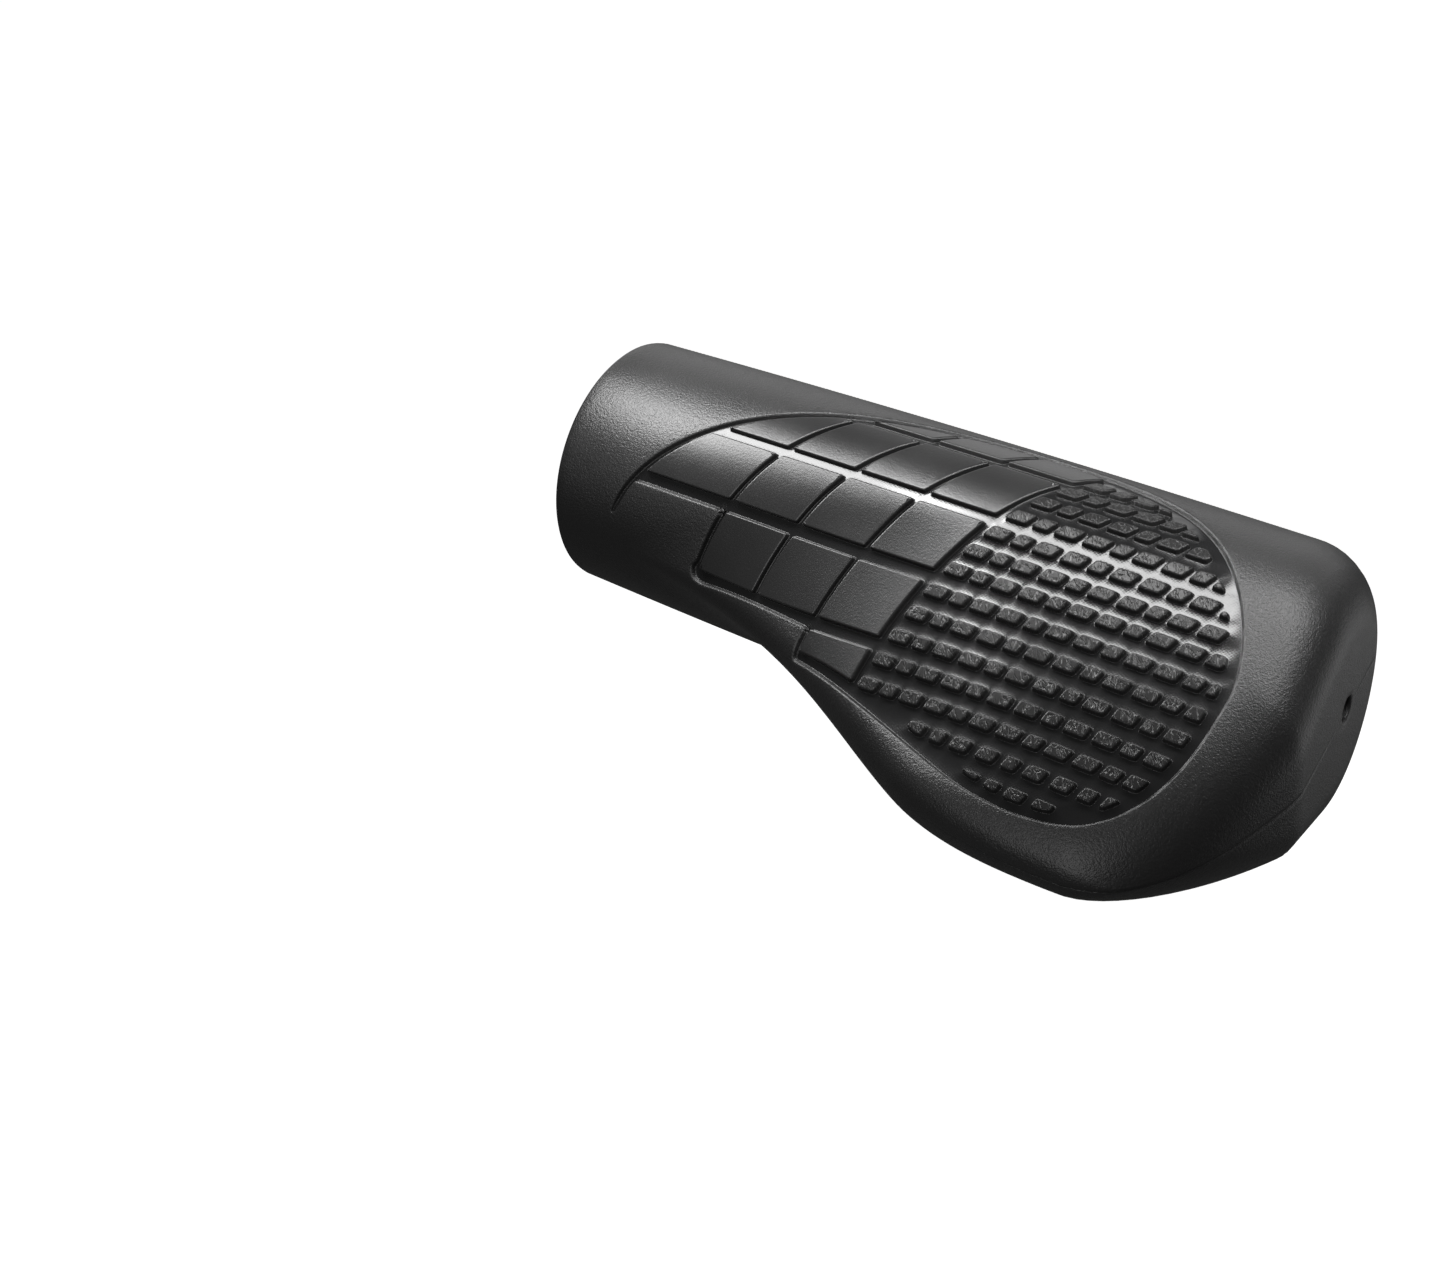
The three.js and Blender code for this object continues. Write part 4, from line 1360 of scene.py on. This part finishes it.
class Grip:
    """The moulded grip: shell, bore and tread in one closed mesh."""

    def __init__(self, shop: RubberShop) -> None:
        """Make the sizes and the finishes."""
        self.body = BodyForm()
        self.shell = Shell(self.body)
        self.plan = TreadPlan(self.body)
        self.relief = Relief()
        self.finishes = {
            Zone.SKIN: shop.make(SKIN), Zone.FLOOR: shop.make(FLOOR),
            Zone.TILE: shop.make(TILE), Zone.BLOCK: shop.make(BLOCK)}

    def build(self) -> Any:
        """Make the grip and seat it on its body of the frame.

        Returns:
            The finished object.
        """
        sheet = FlatSheet(self.shell, self.plan, self.relief).build()
        carrier = self.shell.carrier()
        shell = self.shell.build()
        for material in self.finishes.values():
            shell.data.materials.append(material)
        wrapped = ReliefTree(self.relief).apply(sheet, carrier, self.finishes)
        mesh = self._welded(shell.data, wrapped)
        for spare in (sheet, carrier, shell):
            bpy.data.objects.remove(spare)
        made = linked("moulded_grip", mesh)
        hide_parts("grip")
        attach(made, "root")
        return made

    def _welded(self, shell: Any, wrapped: Any) -> Any:
        """Join the shell and the wrapped sheet along the sheet's border.

        Args:
            shell: Mesh with the opening that the sheet fills.
            wrapped: The wrapped sheet.

        Returns:
            One closed mesh that faces outward.
        """
        order = list(self.finishes.values())
        slots = [order.index(m) if m else 0 for m in wrapped.materials]
        numbers = np.zeros(len(wrapped.polygons), np.int32)
        wrapped.polygons.foreach_get("material_index", numbers)
        wrapped.materials.clear()
        for material in order:
            wrapped.materials.append(material)
        wrapped.polygons.foreach_set("material_index", np.array(slots, np.int32)[numbers])
        joined = bmesh.new()
        joined.from_mesh(shell)
        joined.from_mesh(wrapped)
        rim = [v for v in joined.verts if v.is_boundary]
        bmesh.ops.remove_doubles(joined, verts=rim, dist=WELD * MM)
        bmesh.ops.triangulate(joined, faces=[f for f in joined.faces if len(f.verts) > 4])
        if joined.calc_volume(signed=True) < 0.0:
            bmesh.ops.reverse_faces(joined, faces=joined.faces)
        for face in joined.faces:
            face.smooth = True
        open_edges = sum(e.is_boundary for e in joined.edges)
        shared_edges = sum(len(e.link_faces) > 2 for e in joined.edges)
        mesh = bpy.data.meshes.new("moulded_grip")
        joined.to_mesh(mesh)
        joined.free()
        for material in order:
            mesh.materials.append(material)
        mesh.calc_loop_triangles()
        log.info("grip: %d triangles, %d open edges, %d edges of more than two faces",
                 len(mesh.loop_triangles), open_edges, shared_edges)
        return mesh


@dataclass(frozen=True)
class Softbox:
    """A rectangular lamp: its middle, the point that it faces, its long side and its output."""

    name: str
    middle: tuple[float, float, float]
    facing: tuple[float, float, float]
    along: tuple[float, float, float]
    length: float
    width: float
    radiance: float

    def build(self) -> None:
        """Make the lamp, unseen by the camera."""
        data = bpy.data.lights.new(self.name, "AREA")
        data.shape = "RECTANGLE"
        data.size, data.size_y = self.length, self.width
        data.energy = self.radiance * self.length * self.width * math.pi
        back = (Vector(self.middle) - Vector(self.facing)).normalized()
        side = Vector(self.along)
        side = (side - back * side.dot(back)).normalized()
        up = back.cross(side)
        lamp = linked(self.name, data)
        lamp.matrix_world = Matrix.LocRotScale(
            Vector(self.middle), Matrix((side, up, back)).transposed(), None)
        lamp.visible_camera = False


LAMPS = (
    Softbox("key_inboard", (0.0092, -0.0040, 0.0532), (0.074, -0.010, 0.014),
            (0.992, 0.063, 0.107), 0.0592, 0.0167, 18.0),
    Softbox("key_outboard", (0.0780, 0.0010, 0.0519), (0.074, -0.010, 0.014),
            (0.995, 0.091, -0.034), 0.1080, 0.0100, 16.0),
    Softbox("back", (-0.244, 0.70, 0.16), (0.06, 0.0, 0.0), (1.0, 0.0, 0.0), 1.6, 0.46, 1.15),
    Softbox("front", (0.08, -0.50, 0.34), (0.08, -0.03, 0.0), (1.0, 0.0, 0.0), 0.5, 0.30, 3.0),
    Softbox("low", (0.178, 0.078, -0.060), (0.106, -0.010, 0.0), (-0.6, 0.5, 0.0),
            0.13, 0.09, 0.8))


WHITE = (1.0, 1.0, 1.0, 1.0)


@dataclass
class Studio:
    """Plain pale studio: floor, soft lamps and the camera."""

    floor_z: float = -0.075
    floor_size: float = 6.0
    floor_grey: float = 0.16
    floor_seen: float = 0.85
    floor_glow: float = 0.75
    floor_roughness: float = 0.9
    floor_specular: float = 0.1
    target: tuple[float, float, float] = (0.064, 0.0, 0.0)
    distance: float = 0.34081
    azimuth_deg: float = 40.26
    elevation_deg: float = 38.2
    roll_deg: float = -6.72
    shift_right: float = -0.0400
    shift_up: float = -0.00417
    focal_px: float = 2740.35
    image_width: int = 1431
    sensor: float = 36.0
    near: float = 0.01
    ambient: float = 0.10

    def build(self) -> None:
        """Make the floor, the lamps, the world and the camera."""
        self._floor()
        for lamp in LAMPS:
            lamp.build()
        self._world()
        self._camera()
        bpy.context.scene.view_settings.view_transform = "Standard"

    def _floor(self) -> None:
        """Make the pale floor, white to the camera where no shadow falls."""
        half, level = self.floor_size / 2.0 / MM, self.floor_z / MM
        corners = np.array([(x * half, y * half, level)
                            for x, y in ((-1, -1), (1, -1), (1, 1), (-1, 1))])
        floor = mesh_object("floor", corners, [(0, 1, 2, 3)])
        material = bpy.data.materials.new("pale_floor")
        material.use_nodes = True
        graph = Graph(material.node_tree)
        seen = graph.add("ShaderNodeLightPath").outputs["Is Camera Ray"]
        pale = graph.added(self.floor_grey, seen, self.floor_seen - self.floor_grey)
        shader = graph.add("ShaderNodeBsdfPrincipled", {
            "Base Color": pale, "Roughness": self.floor_roughness,
            "Specular IOR Level": self.floor_specular, "Emission Color": WHITE,
            "Emission Strength": graph.math("MULTIPLY", seen, self.floor_glow)})
        graph.add("ShaderNodeOutputMaterial", {"Surface": shader.outputs[0]})
        floor.data.materials.append(material)

    def _world(self) -> None:
        """Make the world: white to the camera, and a low grey for everything else."""
        world = bpy.data.worlds.new("studio")
        world.use_nodes = True
        graph = Graph(world.node_tree)
        seen = graph.add("ShaderNodeLightPath").outputs["Is Camera Ray"]
        strength = graph.added(self.ambient, seen, 1.0 - self.ambient)
        shade = graph.add("ShaderNodeBackground", {"Color": WHITE, "Strength": strength})
        graph.add("ShaderNodeOutputWorld", {"Surface": shade.outputs[0]})
        bpy.context.scene.world = world

    def _camera(self) -> None:
        """Set the camera at the photograph's place, turn and focal length."""
        azimuth, elevation, roll = (math.radians(a) for a in (
            self.azimuth_deg, self.elevation_deg, self.roll_deg))
        ahead = Vector((-math.sin(azimuth) * math.cos(elevation),
                        math.cos(azimuth) * math.cos(elevation), -math.sin(elevation)))
        level = Vector((math.cos(azimuth), math.sin(azimuth), 0.0))
        above = level.cross(ahead)
        right = level * math.cos(roll) + above * math.sin(roll)
        up = above * math.cos(roll) - level * math.sin(roll)
        eye = (Vector(self.target) - ahead * self.distance + right * self.shift_right
               + up * self.shift_up)
        data = bpy.data.cameras.new("camera")
        data.sensor_width = self.sensor
        data.sensor_fit = "HORIZONTAL"
        data.lens = self.focal_px * self.sensor / self.image_width
        data.clip_start = self.near
        camera = linked("camera", data)
        camera.matrix_world = Matrix((
            (right.x, up.x, -ahead.x, eye.x), (right.y, up.y, -ahead.y, eye.y),
            (right.z, up.z, -ahead.z, eye.z), (0.0, 0.0, 0.0, 1.0)))
        bpy.context.scene.camera = camera


def main() -> None:
    """Build the studio and the grip."""
    logging.basicConfig(level=logging.INFO, format="%(name)s: %(message)s")
    Studio().build()
    log.info("studio built")
    grip = Grip(RubberShop()).build()
    log.info("%s rides on the frame", grip.name)


if __name__ == "__main__":
    main()
